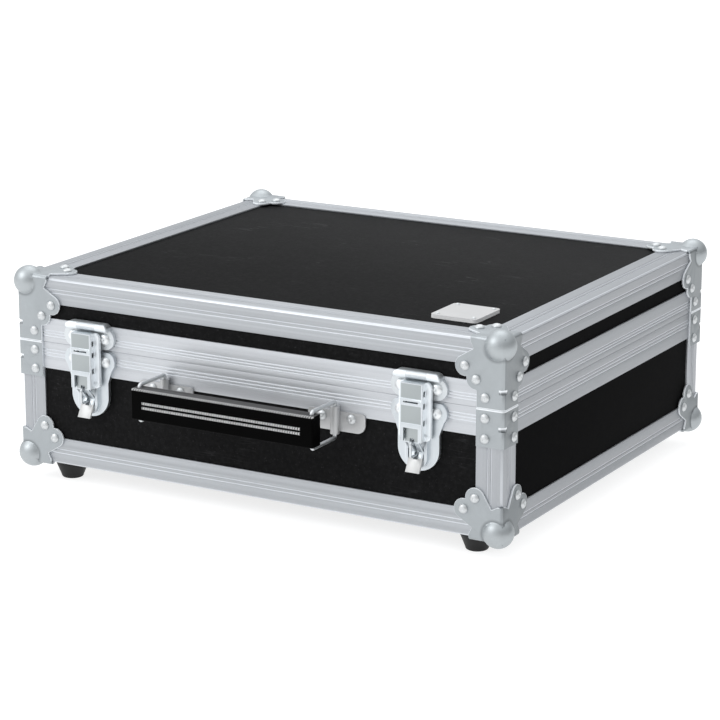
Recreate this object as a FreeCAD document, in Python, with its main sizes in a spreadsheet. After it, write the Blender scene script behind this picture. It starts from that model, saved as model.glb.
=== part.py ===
import FreeCAD, Part

"""A small flight case: laminated panels in aluminium edge angles, ball corners,
two toggle latches, a swinging front handle and a hinged lid.

The case stands on its four rubber feet at z = 0, with its front towards -y, its width along x
and the origin in the middle of its bounding box.
"""
import math
import os

import Sketcher

VECTOR = FreeCAD.Vector

# Driving dimensions in millimetres, one row for each: its name and its size.
DIMENSIONS = (
    # The case from extrusion to extrusion, and the height of the split above its bottom
    ("case_width", 460.0),
    ("case_depth", 387.0),
    ("case_height", 162.6),
    ("split_height", 106.8),
    ("closing_gap", 0.15),
    ("fit_gap", 0.3),
    ("cut_overrun", 2.0),
    # Laminated plywood panels
    ("panel_thickness", 6.5),
    # Double edge angles: an outer angle, an inner angle and a web between them
    ("angle_wall", 1.6),
    ("angle_radius", 2.6),
    ("base_flange", 23.1),
    ("lid_top_flange", 26.0),
    ("lid_side_flange", 22.0),
    ("corner_flange", 23.2),
    ("inner_leg", 8.0),
    ("groove_width", 1.0),
    ("groove_depth", 0.4),
    # Closing rails: a channel on the base and a tongue on the lid
    ("base_rail_height", 23.1),
    ("lid_rail_height", 20.9),
    ("channel_depth", 7.0),
    ("tongue_height", 5.0),
    ("tongue_width", 2.6),
    # Ball corners and corner braces, pressed from steel sheet
    ("plate_wall", 2.0),
    ("plate_bend", 3.0),
    ("ball_radius", 12.8),
    ("ball_inset", 5.4),
    ("lobe_radius", 8.5),
    ("lobe_near", 23.0),
    ("lobe_far", 33.0),
    ("wrap_foot", 28.3),
    ("wrap_reach", 25.5),
    ("wrap_inset", 8.4),
    ("brace_width", 22.5),
    ("brace_height", 30.8),
    ("brace_rivet_inset", 15.0),
    ("brace_rivet_pitch", 16.6),
    ("brace_rivet_drop", 7.6),
    ("lid_leg_rivet_rise", 8.9),
    ("gusset_height", 3.6),
    ("gusset_width", 8.0),
    ("gusset_rise", 15.0),
    # Rivets
    ("rivet_radius", 4.0),
    ("rivet_head", 2.2),
    ("rivet_shank", 1.7),
    ("rivet_dimple", 1.3),
    ("rivet_dimple_depth", 0.5),
    ("latch_rivet_radius", 4.9),
    ("latch_rivet_head", 2.8),
    ("hole_gap", 0.05),
    # Rubber feet, screwed through the ball corners
    ("foot_height", 17.4),
    ("foot_top_radius", 15.0),
    ("foot_bottom_radius", 9.6),
    ("foot_round", 2.0),
    ("foot_hole_radius", 2.3),
    ("foot_well_radius", 4.8),
    ("foot_well_depth", 8.0),
    ("screw_radius", 2.1),
    ("screw_head_radius", 4.2),
    ("screw_head_height", 2.6),
    # Handle: two saddles, two wire links and a moulded grip
    ("handle_height", 80.0),
    ("saddle_latch_gap", 24.05),
    ("saddle_length", 53.0),
    ("saddle_height", 16.6),
    ("saddle_drop", 1.6),
    ("saddle_low_radius", 8.0),
    ("saddle_high_radius", 3.0),
    ("saddle_wall", 1.5),
    ("saddle_rivet_pitch", 13.6),
    ("saddle_rivet_rise", 1.4),
    ("tube_radius", 4.0),
    ("tube_height", 23.0),
    ("wire_radius", 1.7),
    ("wire_gap", 0.08),
    ("open_pivot_gap", 0.4),
    ("link_half_height", 15.2),
    ("link_bend", 2.2),
    ("link_reach", 36.5),
    ("grip_overhang", 4.25),
    ("grip_height", 26.0),
    ("grip_depth", 14.0),
    ("grip_round", 1.6),
    ("rib_inset", 11.0),
    ("rib_width", 1.4),
    ("rib_proud", 0.9),
    ("rib_pitch", 3.9),
    # Latches, measured from the split line and from the front face
    ("latch_inset", 72.5),
    ("latch_wall", 3.4),
    ("ear_radius", 9.2),
    ("ear_offset", 16.0),
    ("latch_edge_gap", 1.0),
    ("base_ear_drop", 9.2),
    ("strike_ear_rise", 10.6),
    ("strike_top", 23.8),
    ("strike_band_bottom", 17.4),
    ("strike_band_proud", 9.0),
    ("strike_band_half_width", 20.6),
    ("strike_corner", 4.5),
    ("tongue_half_width", 18.5),
    ("tongue_start", 27.0),
    ("tongue_end", 58.0),
    ("rim_half_width", 9.6),
    ("rim_wall", 2.4),
    ("rim_proud", 7.5),
    ("rim_top", 31.0),
    ("rim_end", 55.6),
    ("cheek_inner", 6.5),
    ("cheek_wall", 1.3),
    ("cheek_half_height", 3.5),
    ("pivot_drop", 18.0),
    ("pivot_proud", 10.8),
    ("pivot_pin_radius", 1.5),
    ("claw_pin_drop", 8.0),
    ("claw_pin_radius", 1.2),
    ("lever_half_width", 6.2),
    ("lever_wall", 1.8),
    ("lever_top_rise", 4.0),
    ("lever_flange_end", 28.4),
    ("lever_flange_depth", 6.4),
    ("lever_web_proud", 14.2),
    ("lever_flat_drop", 32.5),
    ("lever_bend_drop", 42.0),
    ("lever_bend_proud", 5.6),
    ("tab_end_drop", 57.2),
    ("tab_end_proud", 14.0),
    ("slot_half_width", 1.9),
    ("slot_top_drop", 28.9),
    ("slot_bottom_drop", 47.5),
    ("claw_half_width", 14.3),
    ("claw_core_half_width", 9.65),
    ("claw_wall", 1.4),
    ("claw_top_wall", 2.2),
    ("claw_top", 16.4),
    ("claw_bottom", 31.0),
    ("claw_back", 7.0),
    ("claw_rail_proud", 10.0),
    ("claw_proud", 16.2),
    ("claw_round", 4.0),
    ("claw_frame", 0.6),
    ("claw_bar_top", 3.8),
    ("claw_bar_bottom", -1.6),
    ("claw_slit_half_width", 6.5),
    ("claw_slit_height", 1.4),
    ("claw_arch_top", -16.2),
    ("claw_arch_bottom", -19.9),
    ("claw_window_half_width", 6.6),
    ("claw_slot_height", 4.5),
    ("claw_slot_proud", 13.8),
    ("claw_slot_depth", 3.2),
    ("nose_gap", 0.4),
    ("nose_half_width", 10.3),
    ("staple_wire_radius", 1.1),
    ("staple_drop", 38.0),
    ("staple_half_height", 6.2),
    ("staple_proud", 16.6),
    ("staple_bend", 2.5),
    # Stop hinges on the rear
    ("hinge_length", 60.0),
    ("hinge_wall", 1.5),
    ("hinge_leaf", 26.0),
    ("barrel_radius", 3.6),
    ("axis_offset", 5.5),
    ("hinge_pin_radius", 2.0),
    ("hinge_middle", 24.0),
    ("hinge_rivet_rise", 15.0),
    ("hinge_rivet_pitch", 20.0),
    # Label plate on the lid, left bare
    ("label_width", 42.0),
    ("label_depth", 44.0),
    ("label_wall", 3.0),
    ("label_round", 4.0),
    ("label_centre_inset", 68.0),
    ("label_centre_back", 66.5),
    ("label_rivet_inset", 4.6),
    ("label_rivet_radius", 2.0),
    ("label_rivet_shank", 1.0),
    ("label_rivet_head", 0.9),
    # Foam lining
    ("floor_foam", 8.0),
    ("wall_foam", 6.0),
    ("lid_foam_thickness", 18.0),
)

# Shares of a piece's own size: places along a run, and points on a circle of a lobe or an ear
FLANGE_GROOVE_SHARES = (0.42, 0.56)
BASE_RAIL_GROOVE_SHARES = (0.28, 0.40, 0.52)
LID_RAIL_GROOVE_SHARES = (0.25, 0.365, 0.48)
TONGUE_TIP_SHARE = 0.33
LOBE_TANGENT_SHARES = (math.sin(math.radians(35)), math.cos(math.radians(35)))
EAR_WAIST_SHARES = (math.sqrt(0.5), math.sqrt(0.5))
EAR_TOP_SHARES = (0.5, math.sqrt(0.75))
RIVET_RIM_SHARE = 0.25
RIVET_SHOULDER_SHARES = (0.75, 0.75)
GUSSET_DEPTH_SHARE = 0.75
CLAW_SLOT_SHARES = (0.18, 0.39, 0.68)

doc = FreeCAD.newDocument("flight_case")
sheet = doc.addObject("Spreadsheet::Sheet", "sizes")


class Length:
    """A length from the sheet, or one worked out from it: its value and its expression."""

    def __init__(self, value, text):
        self.value = value
        self.text = text

    def _joined(self, sign, other, value):
        return Length(value, "(" + self.text + " " + sign + " " + expression(other) + ")")

    def __add__(self, other):
        return self._joined("+", other, self.value + number(other))

    def __radd__(self, other):
        return self + other

    def __sub__(self, other):
        return self._joined("-", other, self.value - number(other))

    def __rsub__(self, other):
        return -self + other

    def __mul__(self, other):
        return self._joined("*", other, self.value * number(other))

    def __rmul__(self, other):
        return self * other

    def __truediv__(self, other):
        return self._joined("/", other, self.value / number(other))

    def __neg__(self):
        return Length(-self.value, "(-1 * " + self.text + ")")

    def root(self):
        return Length(math.sqrt(self.value), "sqrt(" + self.text + ")")


def number(item):
    """The plain number of a length or a number."""
    return item.value if isinstance(item, Length) else float(item)


def expression(item):
    """The sheet expression of a length or a number."""
    return item.text if isinstance(item, Length) else repr(item)


class Sizes:
    """The sheet's cells by name, as lengths."""


def fill_sheet():
    """Write the driving dimensions into the sheet and return them by name."""
    for row, (name, size) in enumerate(DIMENSIONS, start=1):
        sheet.set("A" + str(row), name.replace("_", " "))
        sheet.set("B" + str(row), str(size))
        sheet.setAlias("B" + str(row), name)
    doc.recompute()
    sizes = Sizes()
    for name, _ in DIMENSIONS:
        setattr(sizes, name, Length(float(sheet.get(name)), "sizes." + name))
    return sizes


S = fill_sheet()

# Planes of the case in its own frame
GRIP_FRONT = S.tube_radius + S.link_reach + S.grip_depth / 2 + S.rib_proud
HINGE_REAR = S.axis_offset + S.barrel_radius
FRONT = (GRIP_FRONT - HINGE_REAR - S.case_depth) / 2
REAR = FRONT + S.case_depth
MIDDLE = FRONT + S.case_depth / 2
HALF_WIDTH = S.case_width / 2
BOTTOM = S.foot_height
TOP = BOTTOM + S.case_height
SPLIT = BOTTOM + S.split_height
LID_EDGE = SPLIT + S.closing_gap
PANEL_BACK = S.angle_wall + S.panel_thickness
INNER_FACE = PANEL_BACK + S.angle_wall
PANEL_EDGE = PANEL_BACK + S.angle_wall + S.fit_gap

# The four sides and corners: the turn about z that brings the front or the front left there
SIDES = {"front": 0, "right": 90, "rear": 180, "left": 270}
CORNERS = {"front_left": 0, "front_right": 90, "rear_right": 180, "rear_left": 270}

# Pairs of latches, hinges and handle links: the sign of x on each side
HANDS = {"left": -1, "right": 1}


def bind(item, **lengths):
    """Bind properties of an object to lengths; a double underscore stands for a dot."""
    for name, length in lengths.items():
        item.setExpression(name.replace("__", "."), expression(length))


def place(item, x, y, z, rotation=None):
    """Put an object at a point that follows the sheet, turned by a fixed rotation."""
    item.Placement = FreeCAD.Placement(VECTOR(number(x), number(y), number(z)),
                                       rotation or FreeCAD.Rotation())
    bind(item, Placement__Base__x=x, Placement__Base__y=y, Placement__Base__z=z)
    return item


def turn(degrees):
    """A turn about the vertical."""
    return FreeCAD.Rotation(VECTOR(0, 0, 1), degrees)


def side_origin(side):
    """Where the middle of a side's outer face stands."""
    return {"front": (0, FRONT), "right": (HALF_WIDTH, MIDDLE),
            "rear": (0, REAR), "left": (-HALF_WIDTH, MIDDLE)}[side]


def corner_origin(corner):
    """Where a vertical edge of the case stands."""
    y = FRONT if corner.startswith("front") else REAR
    x = -HALF_WIDTH if corner.endswith("left") else HALF_WIDTH
    return x, y


def new_body(label):
    """An empty body with a label of its own."""
    body = doc.addObject("PartDesign::Body", label)
    body.Label = label
    return body


def origin_part(body, role):
    """One of the body's own planes or axes."""
    return next(item for item in body.Origin.OriginFeatures if item.Role == role)


def new_sketch(body, plane, offset=0):
    """An empty sketch on one of the body's own planes, offset along the plane's normal."""
    sketch = body.newObject("Sketcher::SketchObject", body.Label + "_sketch")
    sketch.AttachmentSupport = [(origin_part(body, plane), "")]
    sketch.MapMode = "FlatFace"
    if isinstance(offset, Length):
        bind(sketch, AttachmentOffset__Base__z=offset)
    return sketch


def fix_point(sketch, limits, formulas, geometry, position, x, y):
    """Hold one end of a line or arc at a point worked out from the sheet."""
    for kind, axis, length in (("DistanceX", -2, x), ("DistanceY", -1, y)):
        if isinstance(length, Length):
            formulas[len(limits)] = length
            limits.append(Sketcher.Constraint(kind, -1, 1, geometry, position, length.value))
        else:
            limits.append(Sketcher.Constraint("PointOnObject", geometry, position, axis))


def arc_between(start, end, radius, leftwards):
    """A short arc; leftwards is 1 where it turns left on its way and -1 where it turns right."""
    chord = end - start
    half = chord.Length / 2
    rise = math.sqrt(max(radius ** 2 - half ** 2, 0))
    normal = VECTOR(-chord.y, chord.x, 0).normalize()
    centre = (start + end) / 2 + normal * rise * leftwards
    circle = Part.Circle(centre, VECTOR(0, 0, 1), radius)
    angles = [math.atan2(point.y - centre.y, point.x - centre.x) for point in (start, end)]
    if leftwards < 0:
        angles.reverse()
    if angles[1] < angles[0]:
        angles[1] += 2 * math.pi
    return Part.ArcOfCircle(circle, angles[0], angles[1])


def outline(body, plane, steps, offset=0, holes=()):
    """A closed sketch. A step is a corner (x, y), or (x, y, radius, 1 or -1) where an arc
    reaches it; a hole is (x, y, radius)."""
    sketch = new_sketch(body, plane, offset)
    add_run(sketch, steps)
    for x, y, radius in holes:
        add_circle(sketch, x, y, radius)
    return sketch


def add_run(sketch, steps, closed=True):
    """Draw a run of lines and arcs from step to step, and back to the first where closed."""
    first = sketch.GeometryCount
    points = [VECTOR(number(step[0]), number(step[1]), 0) for step in steps]
    count = len(steps) if closed else len(steps) - 1
    limits, formulas, starts, ends = [], {}, [], []
    for index in range(count):
        after = (index + 1) % len(steps)
        geometry = first + index
        if len(steps[after]) == 2:
            sketch.addGeometry(Part.LineSegment(points[index], points[after]), False)
            starts.append((geometry, 1))
            ends.append((geometry, 2))
            continue
        radius, leftwards = steps[after][2:]
        sketch.addGeometry(arc_between(points[index], points[after], radius.value, leftwards),
                           False)
        formulas[len(limits)] = radius
        limits.append(Sketcher.Constraint("Radius", geometry, radius.value))
        starts.append((geometry, 1 if leftwards > 0 else 2))
        ends.append((geometry, 2 if leftwards > 0 else 1))
    for index in range(count):
        if closed or index + 1 < count:
            after = (index + 1) % count
            limits.append(Sketcher.Constraint("Coincident", *ends[index], *starts[after]))
        fix_point(sketch, limits, formulas, *starts[index], *steps[index][:2])
    if not closed:
        fix_point(sketch, limits, formulas, *ends[-1], *steps[-1][:2])
    add_limits(sketch, limits, formulas)


def add_circle(sketch, x, y, radius):
    """Add a circle whose centre and radius follow the sheet."""
    geometry = sketch.GeometryCount
    sketch.addGeometry(Part.Circle(VECTOR(number(x), number(y), 0), VECTOR(0, 0, 1),
                                   radius.value), False)
    limits = [Sketcher.Constraint("Radius", geometry, radius.value)]
    formulas = {0: radius}
    fix_point(sketch, limits, formulas, geometry, 3, x, y)
    add_limits(sketch, limits, formulas)


def add_limits(sketch, limits, formulas):
    """Add constraints at once, and bind those with a formula to it."""
    before = sketch.ConstraintCount
    sketch.addConstraint(limits)
    for index, length in formulas.items():
        sketch.setExpression("Constraints[" + str(before + index) + "]", length.text)


def circle_sketch(body, plane, circles, offset=0):
    """A sketch of circles, each (x, y, radius)."""
    sketch = new_sketch(body, plane, offset)
    for x, y, radius in circles:
        add_circle(sketch, x, y, radius)
    return sketch


def pad(body, sketch, length, middle=False, flip=False):
    """Thicken a sketch along its normal, to both sides, or against it."""
    feature = body.newObject("PartDesign::Pad", body.Label + "_pad")
    feature.Profile = sketch
    feature.Midplane = middle
    feature.Reversed = flip
    bind(feature, Length=length)
    body.Tip = feature
    return feature


def pocket(body, sketch, length, middle=False, flip=False):
    """Cut a sketch out against its normal, to both sides, or along it."""
    feature = body.newObject("PartDesign::Pocket", body.Label + "_pocket")
    feature.Profile = sketch
    feature.Midplane = middle
    feature.Reversed = flip
    bind(feature, Length=length)
    body.Tip = feature
    return feature


def rectangle(left, bottom, right, top):
    """The steps of a rectangle."""
    return [(left, bottom), (right, bottom), (right, top), (left, top)]


def rounded_rectangle(half_width, bottom, top, low_radius, high_radius):
    """The steps of a rectangle with round corners, its middle at x = 0."""
    low_edge, high_edge = half_width - low_radius, half_width - high_radius
    return [(-low_edge, bottom, low_radius, 1), (low_edge, bottom),
            (half_width, bottom + low_radius, low_radius, 1), (half_width, top - high_radius),
            (high_edge, top, high_radius, 1), (-high_edge, top),
            (-half_width, top - high_radius, high_radius, 1),
            (-half_width, bottom + low_radius)]


def round_edges(body, radius, wanted):
    """Fillet the edges of the body that a test picks."""
    doc.recompute()
    base = body.Tip
    names = ["Edge" + str(index) for index, edge in enumerate(base.Shape.Edges, start=1)
             if wanted(edge)]
    feature = body.newObject("PartDesign::Fillet", body.Label + "_fillet")
    feature.Base = (base, names)
    bind(feature, Radius=radius)
    body.Tip = feature
    return feature


def runs_along(edge, axis):
    """Whether a straight edge runs along x, y or z."""
    if not isinstance(edge.Curve, Part.Line):
        return False
    ends = [vertex.Point for vertex in edge.Vertexes]
    step = (ends[1] - ends[0]).normalize()
    return abs(abs(getattr(step, axis)) - 1) < 1e-6


def near(first, second):
    """Whether two plain numbers are the same place in millimetres."""
    return abs(first - number(second)) < 1e-4


def compound(label, items):
    """Several separate solids under one name."""
    group = doc.addObject("Part::Compound", label)
    group.Label = label
    group.Links = items
    return group


def group_feature(label, shapes):
    """Several separate solids of one small fastener under one name."""
    feature = doc.addObject("Part::Feature", label)
    feature.Label = label
    feature.Shape = Part.makeCompound(shapes)
    return feature


def box(label, length, width, height, x, y, z):
    """A straight panel or pad with its lowest corner at a point."""
    item = doc.addObject("Part::Box", label)
    item.Label = label
    bind(item, Length=length, Width=width, Height=height)
    return place(item, x, y, z)


def with_grooves(start, end, shares, depth_axis):
    """The steps of an outer face from start to end with shallow grooves at shares of its run.

    start and end are points of the face; depth_axis is the unit direction into the metal.
    """
    steps = []
    along = tuple(number(b) - number(a) for a, b in zip(start, end))
    length = math.hypot(*along)
    unit = tuple(round(part / length) for part in along)
    run = (end[0] - start[0]) * unit[0] + (end[1] - start[1]) * unit[1]
    for share in shares:
        centre = run * share
        for across, depth in ((-0.5, 0), (-0.5, 1), (0.5, 1), (0.5, 0)):
            place_along = centre + S.groove_width * across
            point = []
            for axis in (0, 1):
                base = start[axis]
                if unit[axis]:
                    base = base + place_along * unit[axis]
                if depth and depth_axis[axis]:
                    base = base + S.groove_depth * depth_axis[axis]
                point.append(base)
            steps.append(tuple(point))
    return steps


def angle_profile(first_flange, second_flange):
    """The section of a double edge angle: one flange along x, the other along y."""
    wall, radius, web = S.angle_wall, S.angle_radius, S.angle_wall
    back, face = PANEL_BACK, INNER_FACE
    leg = PANEL_BACK + S.inner_leg
    steps = [(radius, 0)]
    steps += with_grooves((0, 0), (first_flange, 0), FLANGE_GROOVE_SHARES, (0, 1))
    steps += [(first_flange, 0), (first_flange, wall), (wall + web, wall),
              (back + web, back), (leg, back), (leg, face), (face, face),
              (face, leg), (back, leg), (back, back + web), (wall, wall + web),
              (wall, second_flange), (0, second_flange)]
    steps += reversed(with_grooves((0, 0), (0, second_flange), FLANGE_GROOVE_SHARES, (1, 0)))
    steps += [(0, radius)]
    return steps, radius


def straight_angle(label, length, first_flange, second_flange):
    """A length of double edge angle along z, centred on its own origin."""
    body = new_body(label)
    steps, radius = angle_profile(first_flange, second_flange)
    steps[0] = (radius, 0, radius, 1)
    pad(body, outline(body, "XY_Plane", steps), length, middle=True)
    return body


# Rotations that lay a section drawn in x and y along the front: x inwards, y up or down
LAY_UP = FreeCAD.Rotation(VECTOR(0, 1, 0), VECTOR(0, 0, 1), VECTOR(1, 0, 0), "XYZ")
LAY_DOWN = FreeCAD.Rotation(VECTOR(0, 1, 0), VECTOR(0, 0, -1), VECTOR(-1, 0, 0), "XYZ")


def side_length(side):
    """How long a side of the case is."""
    return S.case_width if side in ("front", "rear") else S.case_depth


def edge_angles(nodes):
    """The horizontal edge angles round the bottom and round the top of the lid.

    Under the ball corners those of the front and rear stop clear of the ball, and those of
    the sides stop clear of them.
    """
    clear_of_ball = S.ball_radius + S.ball_inset + S.fit_gap
    for side, degrees in SIDES.items():
        x, y = side_origin(side)
        long_side = side in ("front", "rear")
        base_end = clear_of_ball if long_side else S.base_flange + S.fit_gap
        base = straight_angle("bottom_angle_" + side, side_length(side) - base_end * 2,
                              S.base_flange, S.base_flange)
        nodes.append(place(base, x, y, BOTTOM, turn(degrees).multiply(LAY_UP)))
        lid_end = clear_of_ball if long_side else S.lid_top_flange + S.fit_gap
        lid = straight_angle("lid_top_angle_" + side, side_length(side) - lid_end * 2,
                             S.lid_top_flange, S.lid_side_flange)
        nodes.append(place(lid, x, y, TOP, turn(degrees).multiply(LAY_DOWN)))


def corner_angles(nodes):
    """The upright angles in the corners of the base, and the short ones of the lid."""
    base_height = S.split_height - S.base_rail_height - S.base_flange - S.fit_gap * 2
    lid_height = (S.case_height - S.split_height - S.closing_gap - S.lid_rail_height
                  - S.lid_side_flange - S.fit_gap * 2)
    base_middle = BOTTOM + S.base_flange + S.fit_gap + base_height / 2
    lid_middle = TOP - S.lid_side_flange - S.fit_gap - lid_height / 2
    for name, height, z in (("base_corner_angles", base_height, base_middle),
                            ("lid_corner_angles", lid_height, lid_middle)):
        uprights = []
        for corner, degrees in CORNERS.items():
            upright = straight_angle(name + "_" + corner, height,
                                     S.corner_flange, S.corner_flange)
            uprights.append(place(upright, *corner_origin(corner), z, turn(degrees)))
        nodes.append(compound(name, uprights))


def base_rail_profile():
    """The base's closing rail: x inwards, y up, with the split line at y = 0."""
    wall, back, face = S.angle_wall, PANEL_BACK, INNER_FACE
    web = -(S.channel_depth + wall)
    steps = [(0, 0)]
    steps += with_grooves((0, 0), (0, -S.base_rail_height), BASE_RAIL_GROOVE_SHARES,
                          (1, 0))
    steps += [(0, -S.base_rail_height), (wall, -S.base_rail_height), (wall, web), (back, web),
              (back, web - S.inner_leg), (face, web - S.inner_leg), (face, 0),
              (back, 0), (back, -S.channel_depth), (wall, -S.channel_depth), (wall, 0)]
    return steps


def lid_rail_profile():
    """The lid's closing rail: x inwards, y up, with the rail's lower face at y = 0."""
    wall, back, face = S.angle_wall, PANEL_BACK, INNER_FACE
    middle = (wall + back) / 2
    root, tip = S.tongue_width / 2, S.tongue_width * TONGUE_TIP_SHARE
    steps = [(face, 0), (face, wall + S.inner_leg), (back, wall + S.inner_leg), (back, wall),
             (wall, wall), (wall, S.lid_rail_height), (0, S.lid_rail_height)]
    steps += reversed(with_grooves((0, 0), (0, S.lid_rail_height), LID_RAIL_GROOVE_SHARES,
                                   (1, 0)))
    steps += [(0, 0), (middle - root, 0), (middle - tip, -S.tongue_height),
              (middle + tip, -S.tongue_height), (middle + root, 0)]
    return steps


def closing_rails(nodes):
    """The rails along the split line. Those of the sides fit between the front and rear."""
    for prefix, profile, z in (("base_closing_rail_", base_rail_profile, SPLIT),
                               ("lid_closing_rail_", lid_rail_profile, LID_EDGE)):
        for side, degrees in SIDES.items():
            body = new_body(prefix + side)
            length = side_length(side)
            if side in ("left", "right"):
                length = length - INNER_FACE * 2
            pad(body, outline(body, "XY_Plane", profile()), length, middle=True)
            nodes.append(place(body, *side_origin(side), z, turn(degrees).multiply(LAY_UP)))


def panels(nodes):
    """Five laminated plywood panels for the base and five for the lid."""
    thick, edge, wall = S.panel_thickness, PANEL_EDGE, S.angle_wall
    width = S.case_width - edge * 2
    depth = S.case_depth - edge * 2
    base_top = SPLIT - S.channel_depth - wall
    base_rise = base_top - BOTTOM - edge
    lid_low = LID_EDGE + wall
    lid_rise = TOP - edge - lid_low
    nodes.append(box("base_floor_panel", width, depth, thick, -width / 2, FRONT + edge,
                     BOTTOM + wall))
    nodes.append(box("lid_top_panel", width, depth, thick, -width / 2, FRONT + edge,
                     TOP - wall - thick))
    for prefix, low, rise in (("base_", BOTTOM + edge, base_rise), ("lid_", lid_low, lid_rise)):
        for side, y in (("front", FRONT + wall), ("rear", REAR - wall - thick)):
            nodes.append(box(prefix + side + "_panel", width, thick, rise, -width / 2, y, low))
        for side, x in (("left", -HALF_WIDTH + wall), ("right", HALF_WIDTH - wall - thick)):
            nodes.append(box(prefix + side + "_panel", thick, depth, rise, x, FRONT + edge, low))


def lobed_plate(hole_radius, leg_end=None):
    """One face of a ball corner: two round lobes on a tab that leans over the panel.

    The corner of the case is at 0, 0. With a leg the plate runs on along y to leg_end.
    """
    wall, near_side, far = S.plate_wall, S.lobe_near, S.lobe_far
    reach, inset, radius = S.wrap_reach, S.wrap_inset, S.lobe_radius
    across, along = LOBE_TANGENT_SHARES
    half_pitch = (far - near_side) * math.sqrt(0.5)
    notch = (far + near_side) / 2 + (radius * radius - half_pitch * half_pitch).root() \
        * math.sqrt(0.5)
    tangent = (far + radius * across, near_side - radius * along)
    foot, bend = S.wrap_foot, S.plate_bend
    steps = [(-wall, -wall), (foot, -wall), (foot, bend), (reach, inset), tangent,
             (far + radius, near_side, radius, 1), (notch, notch, radius, 1)]
    if leg_end is None:
        steps += [(near_side, far + radius, radius, 1), (tangent[1], tangent[0], radius, 1),
                  (inset, reach), (bend, foot), (-wall, foot)]
    else:
        lean = near_side - S.brace_width
        meet = far + (radius * radius - lean * lean).root()
        steps += [(S.brace_width, meet, radius, 1), (S.brace_width, leg_end),
                  (-wall, leg_end)]
    holes = [(far, near_side, hole_radius), (near_side, far, hole_radius)]
    return steps, holes


def ball_corner(label, leg_end=None):
    """A ball corner with the case's corner at its origin and the case towards +x, +y, +z."""
    body = new_body(label)
    wall = S.plate_wall
    hole = S.rivet_shank + S.hole_gap
    foot_hole = S.screw_radius + S.hole_gap
    steps, holes = lobed_plate(hole if leg_end is not None else foot_hole)
    pad(body, outline(body, "XY_Plane", steps, holes=holes), wall, flip=True)
    upright_steps, upright_holes = lobed_plate(hole, leg_end)
    if leg_end is not None:
        rivet = (S.brace_rivet_inset, leg_end - S.lid_leg_rivet_rise, hole)
        upright_holes = upright_holes + [rivet]
    pad(body, outline(body, "XZ_Plane", upright_steps, holes=upright_holes), wall)
    # On this plane the sketch's x runs along y, and its y along z
    pad(body, outline(body, "YZ_Plane", upright_steps, holes=upright_holes), wall, flip=True)
    bend_edges(body)
    ball = body.newObject("PartDesign::AdditiveSphere", label + "_ball")
    bind(ball, Radius=S.ball_radius)
    place(ball, S.ball_inset, S.ball_inset, S.ball_inset)
    body.Tip = ball
    inside = body.newObject("PartDesign::SubtractiveBox", label + "_inside")
    size = S.ball_radius + S.ball_inset
    bind(inside, Length=size, Width=size, Height=size)
    body.Tip = inside
    hollow = body.newObject("PartDesign::SubtractiveSphere", label + "_hollow")
    bind(hollow, Radius=S.ball_radius - wall)
    place(hollow, S.ball_inset, S.ball_inset, S.ball_inset)
    body.Tip = hollow
    if leg_end is not None:
        cut_gusset(body, leg_end - S.gusset_rise)
    return body


def bend_edges(body):
    """Round the sheet where it folds over an edge of the case."""
    wall = -S.plate_wall

    def folded(edge):
        middle = edge.CenterOfMass
        places = {"x": (middle.y, middle.z), "y": (middle.x, middle.z), "z": (middle.x, middle.y)}
        return any(runs_along(edge, axis) and near(pair[0], wall) and near(pair[1], wall)
                   for axis, pair in places.items())

    round_edges(body, S.plate_bend, folded)


def cut_gusset(body, z):
    """A small flat pressed across the fold, which stiffens it."""
    cut = body.newObject("PartDesign::SubtractiveBox", body.Label + "_gusset")
    length = S.plate_wall + S.cut_overrun
    bind(cut, Length=length, Width=S.gusset_width, Height=S.gusset_height)
    slant = math.sqrt(0.5)
    flat = (S.plate_bend * (1 - slant) - S.plate_wall) * (1 - GUSSET_DEPTH_SHARE)
    x = flat - length * slant + S.gusset_width / 2 * slant
    y = flat - length * slant - S.gusset_width / 2 * slant
    place(cut, x, y, z - S.gusset_height / 2, turn(45))
    body.Tip = cut


def corner_frame(corner, lid=False):
    """The turn that brings the front left corner's frame to a corner; a lid's z runs down."""
    turned = turn(CORNERS[corner])
    if lid:
        flipped = FreeCAD.Rotation(VECTOR(0, 1, 0), VECTOR(1, 0, 0), VECTOR(0, 0, -1), "XYZ")
        turned = turned.multiply(flipped)
    return turned


def ball_corners(nodes):
    """Four ball corners on the base, and four on the lid with legs down to the split."""
    lid_leg = S.case_height - S.split_height - S.closing_gap
    for name, z, leg, lid in (("base_ball_corners", BOTTOM, None, False),
                              ("lid_ball_corners", TOP, lid_leg, True)):
        items = []
        for corner in CORNERS:
            body = ball_corner(name + "_" + corner, leg)
            items.append(place(body, *corner_origin(corner), z, corner_frame(corner, lid)))
        nodes.append(compound(name, items))


def corner_braces(nodes):
    """Folded plates that hold the ends of the base's closing rails to the upright angles."""
    items = []
    wall, width = S.plate_wall, S.brace_width
    hole = S.rivet_shank + S.hole_gap
    for corner, degrees in CORNERS.items():
        body = new_body("corner_brace_" + corner)
        steps = [(-wall, -wall), (width, -wall), (width, 0), (0, 0), (0, width), (-wall, width)]
        pad(body, outline(body, "XY_Plane", steps), S.brace_height)
        low = S.brace_height - S.brace_rivet_drop - S.brace_rivet_pitch
        high = S.brace_height - S.brace_rivet_drop
        for plane in ("XZ_Plane", "YZ_Plane"):
            circles = [(S.brace_rivet_inset, low, hole), (S.brace_rivet_inset, high, hole)]
            pocket(body, circle_sketch(body, plane, circles), (wall + S.cut_overrun) * 2,
                   middle=True)
        bend_edges(body)
        cut_gusset(body, S.brace_height - S.gusset_rise)
        items.append(place(body, *corner_origin(corner), SPLIT - S.brace_height,
                           turn(degrees)))
    nodes.append(compound("base_corner_braces", items))


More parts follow.
